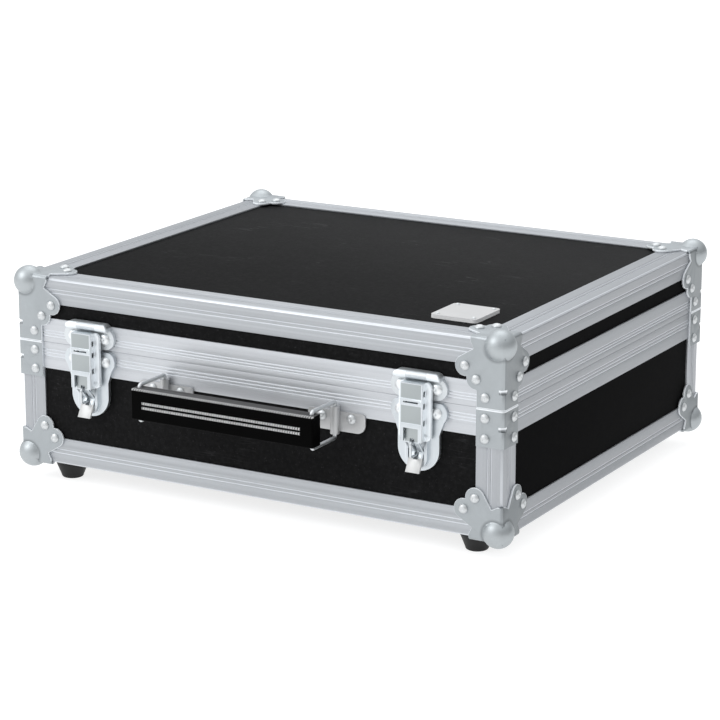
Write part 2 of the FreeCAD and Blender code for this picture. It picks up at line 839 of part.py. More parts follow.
def rivet_shape(radius, head, shank, length):
    """A domed rivet on the z axis: its head above z = 0 and its shank below."""
    dimple, dip = S.rivet_dimple.value, S.rivet_dimple_depth.value
    out, up = RIVET_SHOULDER_SHARES
    top = VECTOR(dimple, 0, head)
    shoulder = VECTOR(radius * out, 0, head * up)
    rim = VECTOR(radius, 0, head * RIVET_RIM_SHARE)
    lines = [Part.LineSegment(VECTOR(0, 0, head - dip), top),
             Part.Arc(top, shoulder, rim),
             Part.LineSegment(rim, VECTOR(radius, 0, 0)),
             Part.LineSegment(VECTOR(radius, 0, 0), VECTOR(shank, 0, 0)),
             Part.LineSegment(VECTOR(shank, 0, 0), VECTOR(shank, 0, -length)),
             Part.LineSegment(VECTOR(shank, 0, -length), VECTOR(0, 0, -length)),
             Part.LineSegment(VECTOR(0, 0, -length), VECTOR(0, 0, head - dip))]
    wire = Part.Wire([line.toShape() for line in lines])
    return Part.Face(wire).revolve(VECTOR(0, 0, 0), VECTOR(0, 0, 1), 360)


def corner_rivet():
    """The rivet of the ball corners and braces, on the z axis."""
    return rivet_shape(S.rivet_radius.value, S.rivet_head.value, S.rivet_shank.value,
                       S.plate_wall.value)


def set_rivet(shape, point, outward):
    """A copy of a rivet at a point of a face, with its head along the outward direction."""
    copy = shape.copy()
    spin = FreeCAD.Rotation(VECTOR(0, 0, 1), VECTOR(*outward))
    copy.Placement = FreeCAD.Placement(VECTOR(*(number(part) for part in point)), spin)
    return copy


def in_corner(corner, z, lid, shapes):
    """Carry shapes from the corner frame to a corner of the case."""
    x, y = corner_origin(corner)
    frame = FreeCAD.Placement(VECTOR(number(x), number(y), number(z)), corner_frame(corner, lid))
    for shape in shapes:
        shape.Placement = frame.multiply(shape.Placement)
    return shapes


def lobe_rivets(shape):
    """The rivets in the lobes of the two upright faces of a ball corner."""
    wall = -S.plate_wall
    shapes = []
    for first, second in ((S.lobe_far, S.lobe_near), (S.lobe_near, S.lobe_far)):
        shapes.append(set_rivet(shape, (first, wall, second), (0, -1, 0)))
        shapes.append(set_rivet(shape, (wall, first, second), (-1, 0, 0)))
    return shapes


def base_rivets(nodes):
    """Rivets of the base: ball corners, braces, handle saddles and hinges."""
    rivet = corner_rivet()
    wall = -S.plate_wall
    shapes = []
    for corner in CORNERS:
        shapes += in_corner(corner, BOTTOM, False, lobe_rivets(rivet))
        brace = []
        for drop in (S.brace_rivet_drop, S.brace_rivet_drop + S.brace_rivet_pitch):
            inset = S.brace_rivet_inset
            brace.append(set_rivet(rivet, (inset, wall, -drop), (0, -1, 0)))
            brace.append(set_rivet(rivet, (wall, inset, -drop), (-1, 0, 0)))
        shapes += in_corner(corner, SPLIT, False, brace)
    shapes += saddle_rivets()
    shapes += hinge_rivets(-1)
    shapes += flush_rivets()
    nodes.append(group_feature("base_rivets", shapes))


def lid_rivets(nodes):
    """Rivets of the lid: ball corners on three faces, the legs below them, and hinges."""
    rivet = corner_rivet()
    wall = -S.plate_wall
    shapes = []
    leg = S.case_height - S.split_height - S.closing_gap - S.lid_leg_rivet_rise
    for corner in CORNERS:
        local = lobe_rivets(rivet)
        inset = S.brace_rivet_inset
        local.append(set_rivet(rivet, (inset, wall, leg), (0, -1, 0)))
        local.append(set_rivet(rivet, (wall, inset, leg), (-1, 0, 0)))
        for first, second in ((S.lobe_far, S.lobe_near), (S.lobe_near, S.lobe_far)):
            local.append(set_rivet(rivet, (first, second, wall), (0, 0, -1)))
        shapes += in_corner(corner, TOP, True, local)
    shapes += hinge_rivets(1)
    nodes.append(group_feature("lid_rivets", shapes))


def foot_places():
    """The feet stand under the lobes that lie further along the width."""
    for x in (-HALF_WIDTH + S.lobe_far, HALF_WIDTH - S.lobe_far):
        for y in (FRONT + S.lobe_near, REAR - S.lobe_near):
            yield x, y


def flush_rivets():
    """Flat rivets in the other lobe underneath, where the foot's rim leaves no room."""
    shapes = []
    for x in (-HALF_WIDTH + S.lobe_near, HALF_WIDTH - S.lobe_near):
        for y in (FRONT + S.lobe_far, REAR - S.lobe_far):
            low = BOTTOM - S.plate_wall
            shapes.append(Part.makeCylinder(S.screw_radius.value, S.plate_wall.value,
                                            VECTOR(x.value, y.value, low.value)))
    return shapes


def foot_body(label):
    """A turned rubber foot with a well for its screw, standing on z = 0."""
    body = new_body(label)
    height = S.foot_height - S.plate_wall
    curve = S.foot_round
    well = S.foot_well_depth
    steps = [(S.foot_well_radius, 0), (S.foot_bottom_radius - curve, 0),
             (S.foot_bottom_radius, curve, curve, 1), (S.foot_top_radius, height),
             (S.foot_hole_radius, height), (S.foot_hole_radius, well), (S.foot_well_radius, well)]
    spin = body.newObject("PartDesign::Revolution", label + "_turned")
    spin.Profile = outline(body, "XZ_Plane", steps)
    spin.ReferenceAxis = (origin_part(body, "Z_Axis"), [""])
    spin.Angle = 360
    body.Tip = spin
    return body


def feet(nodes):
    """Four rubber feet and the screws in their wells."""
    items, screws = [], []
    for index, (x, y) in enumerate(foot_places(), start=1):
        items.append(place(foot_body("rubber_foot_" + str(index)), x, y, 0))
        screw = new_body("foot_screw_" + str(index))
        head = S.screw_head_height
        shank = S.foot_height - S.foot_well_depth
        pad(screw, circle_sketch(screw, "XY_Plane", [(0, 0, S.screw_head_radius)]), head,
            flip=True)
        pad(screw, circle_sketch(screw, "XY_Plane", [(0, 0, S.screw_radius)]), shank)
        screws.append(place(screw, x, y, S.foot_well_depth))
    nodes.append(compound("rubber_feet", items))
    nodes.append(compound("foot_screws", screws))




def saddle_offset():
    """From the middle of the case to the middle of a saddle, which keeps clear of a latch."""
    ear_end = HALF_WIDTH - S.latch_inset - S.ear_offset - S.ear_radius
    return ear_end - S.saddle_latch_gap - S.saddle_length / 2


def handle_x(side):
    """Where a link of the handle swings."""
    return saddle_offset() * HANDS[side]


HANDLE_Z = BOTTOM + S.handle_height
TUBE_Y = FRONT - S.tube_radius


def handle_saddles(nodes):
    """The riveted plates that carry the handle's links in a rolled upright tube."""
    items = []
    for side in HANDS:
        body = new_body("handle_saddle_" + side)
        half_height = S.saddle_height / 2
        steps = rounded_rectangle(S.saddle_length / 2, -S.saddle_drop - half_height,
                                  -S.saddle_drop + half_height, S.saddle_low_radius,
                                  S.saddle_high_radius)
        hole = S.rivet_shank + S.hole_gap
        holes = [(S.saddle_rivet_pitch * hand, S.saddle_rivet_rise, hole) for hand in (-1, 1)]
        pad(body, outline(body, "XZ_Plane", steps, holes=holes), S.saddle_wall)
        tube = [(0, -S.tube_radius, S.tube_radius)]
        pad(body, circle_sketch(body, "XY_Plane", tube), S.tube_height, middle=True)
        bore = [(0, -S.tube_radius, S.wire_radius + S.wire_gap)]
        pocket(body, circle_sketch(body, "XY_Plane", bore), S.tube_height + S.cut_overrun,
               middle=True)
        items.append(place(body, handle_x(side), FRONT, HANDLE_Z))
    nodes.append(compound("handle_saddles", items))


def saddle_rivets():
    """The saddle rivets reach back to the panel, which lies behind the rail's face."""
    length = S.saddle_wall + S.angle_wall
    shape = rivet_shape(S.rivet_radius.value, S.rivet_head.value, S.rivet_shank.value,
                        length.value)
    shapes = []
    z = HANDLE_Z + S.saddle_rivet_rise
    for side in HANDS:
        for pitch in (-S.saddle_rivet_pitch, S.saddle_rivet_pitch):
            point = (handle_x(side) + pitch, FRONT - S.saddle_wall, z)
            shapes.append(set_rivet(shape, point, (0, -1, 0)))
    return shapes


def handle_links(nodes):
    """Closed wire links: the inner leg turns in the tube and the outer leg in the grip."""
    for side in HANDS:
        body = new_body("handle_link_" + side)
        half, bend, reach = S.link_half_height, S.link_bend, S.link_reach
        path = outline(body, "YZ_Plane",
                       [(-reach, -half + bend, bend, -1), (-reach, half - bend),
                        (-reach + bend, half, bend, -1), (-bend, half),
                        (0, half - bend, bend, -1), (0, -half + bend),
                        (-bend, -half, bend, -1), (-reach + bend, -half)])
        section = circle_sketch(body, "XY_Plane", [(0, 0, S.wire_radius)])
        pipe = body.newObject("PartDesign::AdditivePipe", "handle_link_wire_" + side)
        pipe.Profile = section
        pipe.Spine = (path, [])
        body.Tip = pipe
        nodes.append(place(body, handle_x(side), TUBE_Y, HANDLE_Z))


def handle_grip(nodes):
    """The moulded grip, with two low ribs on its face and a bore for each link."""
    body = new_body("handle_grip")
    half_depth = S.grip_depth / 2
    half_length = saddle_offset() + S.grip_overhang
    steps = rectangle(-half_length, -half_depth, half_length, half_depth)
    pad(body, outline(body, "XY_Plane", steps), S.grip_height, middle=True)
    round_edges(body, S.grip_round, lambda edge: runs_along(edge, "x") or runs_along(edge, "z"))
    for hand in (-1, 1):
        middle = S.rib_pitch / 2 * hand
        rib_end = half_length - S.rib_inset
        ridge = rectangle(-rib_end, middle - S.rib_width / 2, rib_end, middle + S.rib_width / 2)
        pad(body, outline(body, "XZ_Plane", ridge, offset=half_depth), S.rib_proud)
    for side, gap in (("left", S.wire_gap), ("right", S.open_pivot_gap)):
        bore = [(handle_x(side), 0, S.wire_radius + gap)]
        pocket(body, circle_sketch(body, "XY_Plane", bore), S.grip_height + S.cut_overrun,
               middle=True)
    nodes.append(place(body, 0, TUBE_Y - S.link_reach, HANDLE_Z))


def latch_origin(side):
    """The point of the front face on the split line in the middle of a latch."""
    return (HALF_WIDTH - S.latch_inset) * HANDS[side], FRONT, SPLIT


def base_plate_steps():
    """The outline of a latch's base plate: an ear on each side and a round-ended tongue."""
    ear, out, down = S.ear_radius, S.ear_offset, S.base_ear_drop
    top, half, low = -S.latch_edge_gap, S.tongue_half_width, -S.tongue_end
    rise = down - S.latch_edge_gap
    shoulder = (ear * ear - rise * rise).root()
    across, along = EAR_WAIST_SHARES
    waist = (out + ear * across, -down - ear * along)
    return [(-out - shoulder, top), (-out - ear, -down, ear, 1), (-waist[0], waist[1], ear, 1),
            (-half, -S.tongue_start), (-half, low + half), (0, low, half, 1),
            (half, low + half, half, 1), (half, -S.tongue_start), waist,
            (out + ear, -down, ear, 1), (out + shoulder, top, ear, 1)]


def rim_steps():
    """The outline of the raised rim on the tongue, open at the top, round the lever's bend."""
    outer, inner = S.rim_half_width, S.rim_half_width - S.rim_wall
    top, centre = -S.rim_top, S.rim_half_width - S.rim_end
    return [(-outer, top), (-outer, centre), (0, centre - outer, outer, 1),
            (outer, centre, outer, 1), (outer, top), (inner, top), (inner, centre),
            (0, centre - inner, inner, -1), (-inner, centre, inner, -1), (-inner, top)]


def latch_bases(nodes):
    """Base plates: two riveted ears, a tongue with a raised rim, and cheeks for the lever."""
    for side in HANDS:
        body = new_body("latch_base_" + side)
        out, down, hole = S.ear_offset, S.base_ear_drop, S.rivet_shank + S.hole_gap
        holes = [(-out, -down, hole), (out, -down, hole)]
        pad(body, outline(body, "XZ_Plane", base_plate_steps(), holes=holes), S.latch_wall)
        pad(body, outline(body, "XZ_Plane", rim_steps()), S.rim_proud)
        high, proud, drop = S.cheek_half_height, S.pivot_proud, S.pivot_drop
        cheek = [(0, -drop + high), (-proud, -drop + high), (-proud - high, -drop, high, 1),
                 (-proud, -drop - high, high, 1), (0, -drop - high)]
        for hand in (-1, 1):
            sketch = outline(body, "YZ_Plane", cheek,
                             offset=(S.cheek_inner + S.cheek_wall / 2) * hand,
                             holes=[(-proud, -drop, S.pivot_pin_radius)])
            pad(body, sketch, S.cheek_wall, middle=True)
        nodes.append(place(body, *latch_origin(side)))


def latch_staples(nodes):
    """Wire staples for a padlock, set in the base plate and out through the lever."""
    items = []
    for side in HANDS:
        body = new_body("latch_staple_" + side)
        half, bend, proud = S.staple_half_height, S.staple_bend, S.staple_proud
        drop, foot = S.staple_drop, S.latch_wall
        sketch = new_sketch(body, "YZ_Plane")
        add_run(sketch, [(-foot, -drop + half), (-proud + bend, -drop + half),
                         (-proud, -drop + half - bend, bend, 1), (-proud, -drop - half + bend),
                         (-proud + bend, -drop - half, bend, 1), (-foot, -drop - half)],
                closed=False)
        section = circle_sketch(body, "XZ_Plane", [(0, -drop + half, S.staple_wire_radius)],
                                offset=foot)
        pipe = body.newObject("PartDesign::AdditivePipe", "latch_staple_wire_" + side)
        pipe.Profile = section
        pipe.Spine = (sketch, [])
        body.Tip = pipe
        items.append(place(body, *latch_origin(side)))
    nodes.append(compound("latch_staples", items))


def latch_levers(nodes):
    """Levers: a channel on the pivot pin, a bend in towards the base plate and a flared tab."""
    for side in HANDS:
        body = new_body("latch_lever_" + side)
        proud, drop, wall = S.pivot_proud, S.pivot_drop, S.lever_wall
        face, flat = -S.lever_web_proud, -S.lever_flat_drop
        dip, bend = -S.lever_bend_proud, -S.lever_bend_drop
        out, end = -S.tab_end_proud, -S.tab_end_drop
        top = -drop + S.lever_top_rise
        web = [(face, top), (face, flat), (dip, bend), (out, end), (out + wall, end),
               (dip + wall, bend), (face + wall, flat), (face + wall, top)]
        pad(body, outline(body, "YZ_Plane", web), S.lever_half_width * 2, middle=True)
        inner = face + S.lever_flange_depth
        flange = [(face, top), (face, -S.lever_flange_end), (inner, -S.lever_flange_end),
                  (inner, top)]
        for hand in (-1, 1):
            place_x = (S.lever_half_width - wall / 2) * hand
            pad(body, outline(body, "YZ_Plane", flange, offset=place_x), wall, middle=True)
        pins = [(-proud, -drop, S.pivot_pin_radius + S.hole_gap),
                (-proud, -drop - S.claw_pin_drop, S.claw_pin_radius + S.hole_gap)]
        pocket(body, circle_sketch(body, "YZ_Plane", pins),
               (S.lever_half_width + S.cut_overrun) * 2, middle=True)
        slot = rectangle(-S.slot_half_width, -S.slot_bottom_drop, S.slot_half_width,
                         -S.slot_top_drop)
        pocket(body, outline(body, "XZ_Plane", slot), (S.lever_web_proud + S.cut_overrun) * 2,
               middle=True)
        nodes.append(place(body, *latch_origin(side)))


def latch_claws(nodes):
    """Claws: low rails on both sides of a raised channel with two panels, and a nose."""
    for side in HANDS:
        body = new_body("latch_claw_" + side)
        claw_solids(body)
        claw_openings(body)
        nodes.append(place(body, *latch_origin(side)))


def claw_solids(body):
    """The claw's rails and nose, its raised core, and the frames on the core's face."""
    top, low, core = S.claw_top, -S.claw_bottom, S.claw_core_half_width
    back, face = S.claw_back, S.claw_proud
    rails = rounded_rectangle(S.claw_half_width, low, top, S.claw_round, S.claw_round)
    pad(body, outline(body, "XZ_Plane", rails, offset=back), S.claw_rail_proud - back)
    raised = rectangle(-core, low, core, top)
    pad(body, outline(body, "XZ_Plane", raised, offset=back), face - back)
    for bottom, crown in ((S.claw_bar_bottom, S.claw_bar_top), (low, S.claw_arch_top)):
        frame = rectangle(-core, bottom, core, crown)
        pad(body, outline(body, "XZ_Plane", frame, offset=face), S.claw_frame)
    reach = S.latch_wall + S.nose_gap
    nose = rectangle(-S.nose_half_width, top - S.claw_top_wall, S.nose_half_width, top)
    pad(body, outline(body, "XZ_Plane", nose, offset=reach), back - reach)


def claw_openings(body):
    """The channel behind the claw's face, the lever's window, the slits and the pin's holes."""
    top, low, core, wall = S.claw_top, -S.claw_bottom, S.claw_core_half_width, S.claw_wall
    back, face = S.claw_back, S.claw_proud
    through = face + S.claw_frame - back
    below = low - S.cut_overrun
    channel = rectangle(-core + wall, below, core - wall, top - S.claw_top_wall)
    pocket(body, outline(body, "XZ_Plane", channel, offset=back), face - wall - back, flip=True)
    window = rectangle(-S.claw_window_half_width, below, S.claw_window_half_width,
                       S.claw_arch_bottom)
    middle = (S.claw_bar_bottom + S.claw_bar_top) / 2
    slit = rectangle(-S.claw_slit_half_width, middle - S.claw_slit_height / 2,
                     S.claw_slit_half_width, middle + S.claw_slit_height / 2)
    for opening in (window, slit):
        pocket(body, outline(body, "XZ_Plane", opening, offset=face + S.claw_frame), through)
    across = (core + S.cut_overrun) * 2
    slot_front = -S.claw_slot_proud
    for share in CLAW_SLOT_SHARES:
        level = top - (top - low) * share
        slot = rectangle(slot_front, level - S.claw_slot_height / 2,
                         slot_front + S.claw_slot_depth, level + S.claw_slot_height / 2)
        pocket(body, outline(body, "YZ_Plane", slot), across, middle=True)
    hole = [(-S.pivot_proud, -S.pivot_drop - S.claw_pin_drop, S.claw_pin_radius)]
    pocket(body, circle_sketch(body, "YZ_Plane", hole), across, middle=True)


def cross_pin(label, radius, half_length, drop):
    """A pin across a latch, as far out as the lever's pivot."""
    body = new_body(label)
    circle = [(-S.pivot_proud, -drop, radius)]
    pad(body, circle_sketch(body, "YZ_Plane", circle), half_length * 2, middle=True)
    return body


def latch_pins(nodes):
    """Pivot pins held by the base's cheeks, and claw pins held by the claw's channel."""
    pivots = []
    for side in HANDS:
        half = S.cheek_inner + S.cheek_wall
        pin = cross_pin("latch_pivot_pin_" + side, S.pivot_pin_radius, half, S.pivot_drop)
        pivots.append(place(pin, *latch_origin(side)))
        claw_pin = cross_pin("latch_claw_pin_" + side, S.claw_pin_radius,
                             S.claw_core_half_width, S.pivot_drop + S.claw_pin_drop)
        nodes.append(place(claw_pin, *latch_origin(side)))
    nodes.append(compound("latch_pivot_pins", pivots))


def latch_strikes(nodes):
    """Strike plates on the lid: two riveted ears and a broad pressed band above the claw."""
    items = []
    for side in HANDS:
        body = new_body("latch_strike_" + side)
        ear, out, up, top = S.ear_radius, S.ear_offset, S.strike_ear_rise, S.strike_top
        across, along = EAR_TOP_SHARES
        shoulder = (out + ear * across, up + ear * along)
        half, hole = S.strike_band_half_width, S.rivet_shank + S.hole_gap
        steps = [(-out, up - ear, ear, 1), (out, up - ear), (out + ear, up, ear, 1),
                 (*shoulder, ear, 1), (half, top), (-half, top), (-shoulder[0], shoulder[1]),
                 (-out - ear, up, ear, 1)]
        pad(body, outline(body, "XZ_Plane", steps, holes=[(-out, up, hole), (out, up, hole)]),
            S.latch_wall)
        bottom, proud, corner = S.strike_band_bottom, S.strike_band_proud, S.strike_corner
        curve = (top - bottom) / 2
        band = [(0, top), (0, bottom), (-proud + curve, bottom),
                (-proud, top - curve, curve, -1), (-proud + curve, top, curve, -1)]
        pad(body, outline(body, "YZ_Plane", band), half * 2, middle=True)
        beyond, above = half + S.cut_overrun, top + S.cut_overrun
        for hand in (-1, 1):
            waste = [(half * hand, top - corner),
                     ((half - corner) * hand, top, corner, hand),
                     ((half - corner) * hand, above), (beyond * hand, above),
                     (beyond * hand, top - corner)]
            pocket(body, outline(body, "XZ_Plane", waste, offset=proud), proud)
        items.append(place(body, *latch_origin(side)))
    nodes.append(compound("latch_strikes", items))


def latch_rivets(nodes):
    """The large bright rivets in the ears of the latches."""
    shape = rivet_shape(S.latch_rivet_radius.value, S.latch_rivet_head.value,
                        S.rivet_shank.value, S.latch_wall.value)
    for name, rise in (("latch_base_rivets", -S.base_ear_drop),
                       ("latch_strike_rivets", S.strike_ear_rise)):
        shapes = []
        for side in HANDS:
            x, y, z = latch_origin(side)
            for hand in (-1, 1):
                point = (x + S.ear_offset * hand, y - S.latch_wall, z + rise)
                shapes.append(set_rivet(shape, point, (0, -1, 0)))
        nodes.append(group_feature(name, shapes))


def hinge_leaf(label, direction, knuckles):
    """A hinge leaf on the rear face: direction is 1 for the lid's and -1 for the base's."""
    body = new_body(label)
    wall, radius, offset = S.hinge_wall, S.barrel_radius, S.axis_offset
    start = S.closing_gap * 2 * direction
    plate = [(0, start), (wall, start), (wall, S.hinge_leaf * direction),
             (0, S.hinge_leaf * direction)]
    pad(body, outline(body, "YZ_Plane", plate), S.hinge_length, middle=True)
    arm = [(0, start), (offset, start), (offset, radius * direction), (0, radius * direction)]
    for middle, length in knuckles:
        pad(body, outline(body, "YZ_Plane", arm, offset=middle), length, middle=True)
        pad(body, circle_sketch(body, "YZ_Plane", [(offset, 0, radius)], offset=middle),
            length, middle=True)
    bore = [(offset, 0, S.hinge_pin_radius + S.hole_gap)]
    pocket(body, circle_sketch(body, "YZ_Plane", bore), S.hinge_length + S.cut_overrun,
           middle=True)
    hole = S.rivet_shank + S.hole_gap
    holes = [(S.hinge_rivet_pitch * hand, S.hinge_rivet_rise * direction, hole)
             for hand in (-1, 1)]
    pocket(body, circle_sketch(body, "XZ_Plane", holes), (wall + S.cut_overrun) * 2,
           middle=True)
    return body


def hinge_x(side):
    """The middle of a hinge, straight behind a latch."""
    return (HALF_WIDTH - S.latch_inset) * HANDS[side]


def hinges(nodes):
    """Two hinges: the lid's leaf has the middle knuckle and the base's leaf the outer two."""
    outer = (S.hinge_length - S.hinge_middle) / 2 - S.fit_gap
    outer_middle = S.hinge_length / 2 - outer / 2
    base, lid, pins = [], [], []
    for side in HANDS:
        x = hinge_x(side)
        leaf = hinge_leaf("hinge_base_leaf_" + side, -1,
                          [(-outer_middle, outer), (outer_middle, outer)])
        base.append(place(leaf, x, REAR, SPLIT))
        leaf = hinge_leaf("hinge_lid_leaf_" + side, 1, [(0, S.hinge_middle)])
        lid.append(place(leaf, x, REAR, SPLIT))
        pin = new_body("hinge_pin_" + side)
        pad(pin, circle_sketch(pin, "YZ_Plane", [(S.axis_offset, 0, S.hinge_pin_radius)]),
            S.hinge_length, middle=True)
        pins.append(place(pin, x, REAR, SPLIT))
    nodes.append(compound("hinge_base_leaves", base))
    nodes.append(compound("hinge_lid_leaves", lid))
    nodes.append(compound("hinge_pins", pins))


def hinge_rivets(direction):
    """The rivets in the hinge leaves of the lid (1) or of the base (-1)."""
    shape = rivet_shape(S.rivet_radius.value, S.rivet_head.value, S.rivet_shank.value,
                        S.hinge_wall.value)
    shapes = []
    for side in HANDS:
        for hand in (-1, 1):
            point = (hinge_x(side) + S.hinge_rivet_pitch * hand, REAR + S.hinge_wall,
                     SPLIT + S.hinge_rivet_rise * direction)
            shapes.append(set_rivet(shape, point, (0, 1, 0)))
    return shapes


def label_plate(nodes):
    """A bare plate riveted to the lid's top panel."""
    body = new_body("label_plate")
    half_width, half_depth = S.label_width / 2, S.label_depth / 2
    inset = S.label_rivet_inset
    places = [(x, y) for x in (-half_width + inset, half_width - inset)
              for y in (-half_depth + inset, half_depth - inset)]
    holes = [(x, y, S.label_rivet_shank) for x, y in places]
    steps = rectangle(-half_width, -half_depth, half_width, half_depth)
    pad(body, outline(body, "XY_Plane", steps, holes=holes), S.label_wall)
    round_edges(body, S.label_round, lambda edge: runs_along(edge, "z"))
    x = HALF_WIDTH - S.label_centre_inset
    y, z = FRONT + S.label_centre_back, TOP - S.angle_wall
    nodes.append(place(body, x, y, z))
    shape = rivet_shape(S.label_rivet_radius.value, S.label_rivet_head.value,
                        S.label_rivet_shank.value, S.label_wall.value)
    shapes = [set_rivet(shape, (x + along, y + back, z + S.label_wall), (0, 0, 1))
              for along, back in places]
    nodes.append(group_feature("label_rivets", shapes))


def foam_lining(nodes):
    """Foam on the floor, round the base's walls and under the lid."""
    edge = INNER_FACE + S.fit_gap
    width = S.case_width - edge * 2
    depth = S.case_depth - edge * 2
    floor = BOTTOM + edge
    nodes.append(box("floor_foam", width, depth, S.floor_foam, -width / 2, FRONT + edge, floor))
    low = floor + S.floor_foam + S.fit_gap
    rise = SPLIT - S.fit_gap - low
    between = depth - (S.wall_foam + S.fit_gap) * 2
    walls = [box("wall_foam_front", width, S.wall_foam, rise, -width / 2, FRONT + edge, low),
             box("wall_foam_rear", width, S.wall_foam, rise, -width / 2,
                 REAR - edge - S.wall_foam, low),
             box("wall_foam_left", S.wall_foam, between, rise, -width / 2,
                 MIDDLE - between / 2, low),
             box("wall_foam_right", S.wall_foam, between, rise, width / 2 - S.wall_foam,
                 MIDDLE - between / 2, low)]
    nodes.append(compound("wall_foam", walls))
    nodes.append(box("lid_foam", width, depth, S.lid_foam_thickness, -width / 2, FRONT + edge,
                     TOP - edge - S.lid_foam_thickness))


BUILDERS = (panels, edge_angles, corner_angles, closing_rails, ball_corners, corner_braces,
            base_rivets, lid_rivets, feet, handle_saddles, handle_links, handle_grip,
            latch_bases, latch_staples, latch_levers, latch_claws, latch_pins, latch_strikes,
            latch_rivets, hinges, label_plate, foam_lining)


def check_objects(nodes):
    """Stop on any failed object or any sub-part without a sound shape."""
    for item in doc.Objects:
        if "Invalid" in item.State or "Error" in item.State:
            raise RuntimeError(item.Label + " failed: " + ", ".join(item.State))
    for node in nodes:
        if node.Shape.isNull() or not node.Shape.isValid() or not node.Shape.Solids:
            raise RuntimeError(node.Label + " has no sound shape")


def write_parts(nodes):
    """Write each sub-part to its own STEP file."""
    os.makedirs("parts", exist_ok=True)
    for node in nodes:
        node.Shape.exportStep("parts/" + node.Label + ".step")


def main():
    """Build every sub-part, check them all and write them."""
    nodes = []
    for build in BUILDERS:
        build(nodes)
    doc.recompute()
    check_objects(nodes)
    write_parts(nodes)
    whole = Part.makeCompound([node.Shape for node in nodes]).BoundBox
    print(len(nodes), "sub-parts in a box of", round(whole.XLength, 1), round(whole.YLength, 1),
          round(whole.ZLength, 1), "mm from z", round(whole.ZMin, 3))


main()
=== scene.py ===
"""Looks of a small flight case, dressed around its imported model.

The case stands on z = 0 with its latches towards -y. Lengths are in metres and share the
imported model's frame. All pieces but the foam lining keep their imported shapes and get
finishes, most of them with softened edges as well; the foam is made here.
"""
from __future__ import annotations

import logging
import math
from dataclasses import dataclass, field
from enum import Enum
from functools import cached_property

import bmesh
import bpy
import numpy as np
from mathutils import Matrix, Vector

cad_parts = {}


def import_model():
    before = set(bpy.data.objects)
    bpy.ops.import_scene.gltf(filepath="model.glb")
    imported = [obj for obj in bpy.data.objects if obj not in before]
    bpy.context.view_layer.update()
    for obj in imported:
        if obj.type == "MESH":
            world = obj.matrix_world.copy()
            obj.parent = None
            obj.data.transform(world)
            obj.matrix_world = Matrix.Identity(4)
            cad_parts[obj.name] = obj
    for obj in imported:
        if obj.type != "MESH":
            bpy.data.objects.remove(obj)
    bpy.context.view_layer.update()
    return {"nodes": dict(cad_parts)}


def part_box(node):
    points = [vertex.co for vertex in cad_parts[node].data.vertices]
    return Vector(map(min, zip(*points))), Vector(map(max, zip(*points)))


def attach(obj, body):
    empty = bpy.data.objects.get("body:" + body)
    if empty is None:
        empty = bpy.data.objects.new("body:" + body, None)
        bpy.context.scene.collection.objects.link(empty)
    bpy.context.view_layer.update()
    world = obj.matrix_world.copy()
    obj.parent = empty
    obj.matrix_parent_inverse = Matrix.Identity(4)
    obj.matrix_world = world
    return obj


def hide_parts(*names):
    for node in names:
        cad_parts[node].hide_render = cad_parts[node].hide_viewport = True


LOG = logging.getLogger("flight_case")
MM = 0.001
Colour = tuple[float, float, float]
Scales = tuple[float, float, float]
Range = tuple[float, float]
Window = tuple[float, float, float, float]


class Axis(Enum):
    """The way that a length of extrusion runs."""

    X = 0
    Y = 1
    Z = 2


class Slot(Enum):
    """Names of the record's material slots for new pieces."""

    FOAM = "foam"


# ---- Shader maths ----

class Value:
    """A number that changes over a surface, written with Python's operators."""

    def __init__(self, tree: "Tree", socket: bpy.types.NodeSocket) -> None:
        """Wrap a socket.

        Args:
            tree: The material that the socket belongs to.
            socket: A socket that gives one number.
        """
        self.tree = tree
        self.socket = socket

    def maths(self, operation: str, *others: "Value | float", clamp: bool = False) -> "Value":
        """Put one Math node after this value.

        Args:
            operation: The node's operation.
            others: The second and third values.
            clamp: Whether the result stays from 0 to 1.

        Returns:
            The result.
        """
        values = dict(enumerate((self, *others)))
        node = self.tree.add("ShaderNodeMath", {"operation": operation, "use_clamp": clamp},
                             values)
        return Value(self.tree, node.outputs[0])

    def swapped(self, operation: str, first: float) -> "Value":
        """Put one Math node with a plain number first.

        Args:
            operation: The node's operation.
            first: The number before this value.

        Returns:
            The result.
        """
        node = self.tree.add("ShaderNodeMath", {"operation": operation}, {0: first, 1: self})
        return Value(self.tree, node.outputs[0])

    def __add__(self, other: "Value | float") -> "Value":
        """Sum."""
        return self.maths("ADD", other)

    __radd__ = __add__

    def __sub__(self, other: "Value | float") -> "Value":
        """Difference."""
        return self.maths("SUBTRACT", other)

    def __rsub__(self, other: float) -> "Value":
        """Difference from a number."""
        return self.swapped("SUBTRACT", other)

    def __mul__(self, other: "Value | float") -> "Value":
        """Product."""
        return self.maths("MULTIPLY", other)

    __rmul__ = __mul__

    def __truediv__(self, other: "Value | float") -> "Value":
        """Quotient."""
        return self.maths("DIVIDE", other)

    def __pow__(self, other: float) -> "Value":
        """Power."""
        return self.maths("POWER", other)

    def __abs__(self) -> "Value":
        """Size without its sign."""
        return self.maths("ABSOLUTE")

    def clamped(self) -> "Value":
        """This value kept from 0 to 1."""
        return self.maths("ADD", 0.0, clamp=True)

    def ramp(self, low: float, high: float) -> "Value":
        """Rise smoothly from 0 at low to 1 at high, with a flat start and end.

        Args:
            low: Where the rise starts.
            high: Where it ends; below low it falls instead.

        Returns:
            3 s s - 2 s s s, where s is the clamped share of the way from low to high.
        """
        share = ((self - low) / (high - low)).clamped()
        return share * share * (3.0 - 2.0 * share)

    def window(self, start: float, full: float, fall: float, end: float) -> "Value":
        """Rise from 0 at start to 1 at full, stay there to fall, and be 0 again from end."""
        return self.ramp(start, full) * self.ramp(end, fall)

    def wave(self, pitch: float) -> "Value":
        """A sine of this length, from 0 to 1, that repeats every pitch."""
        return (self * (2 * math.pi / pitch)).maths("SINE") * 0.5 + 0.5


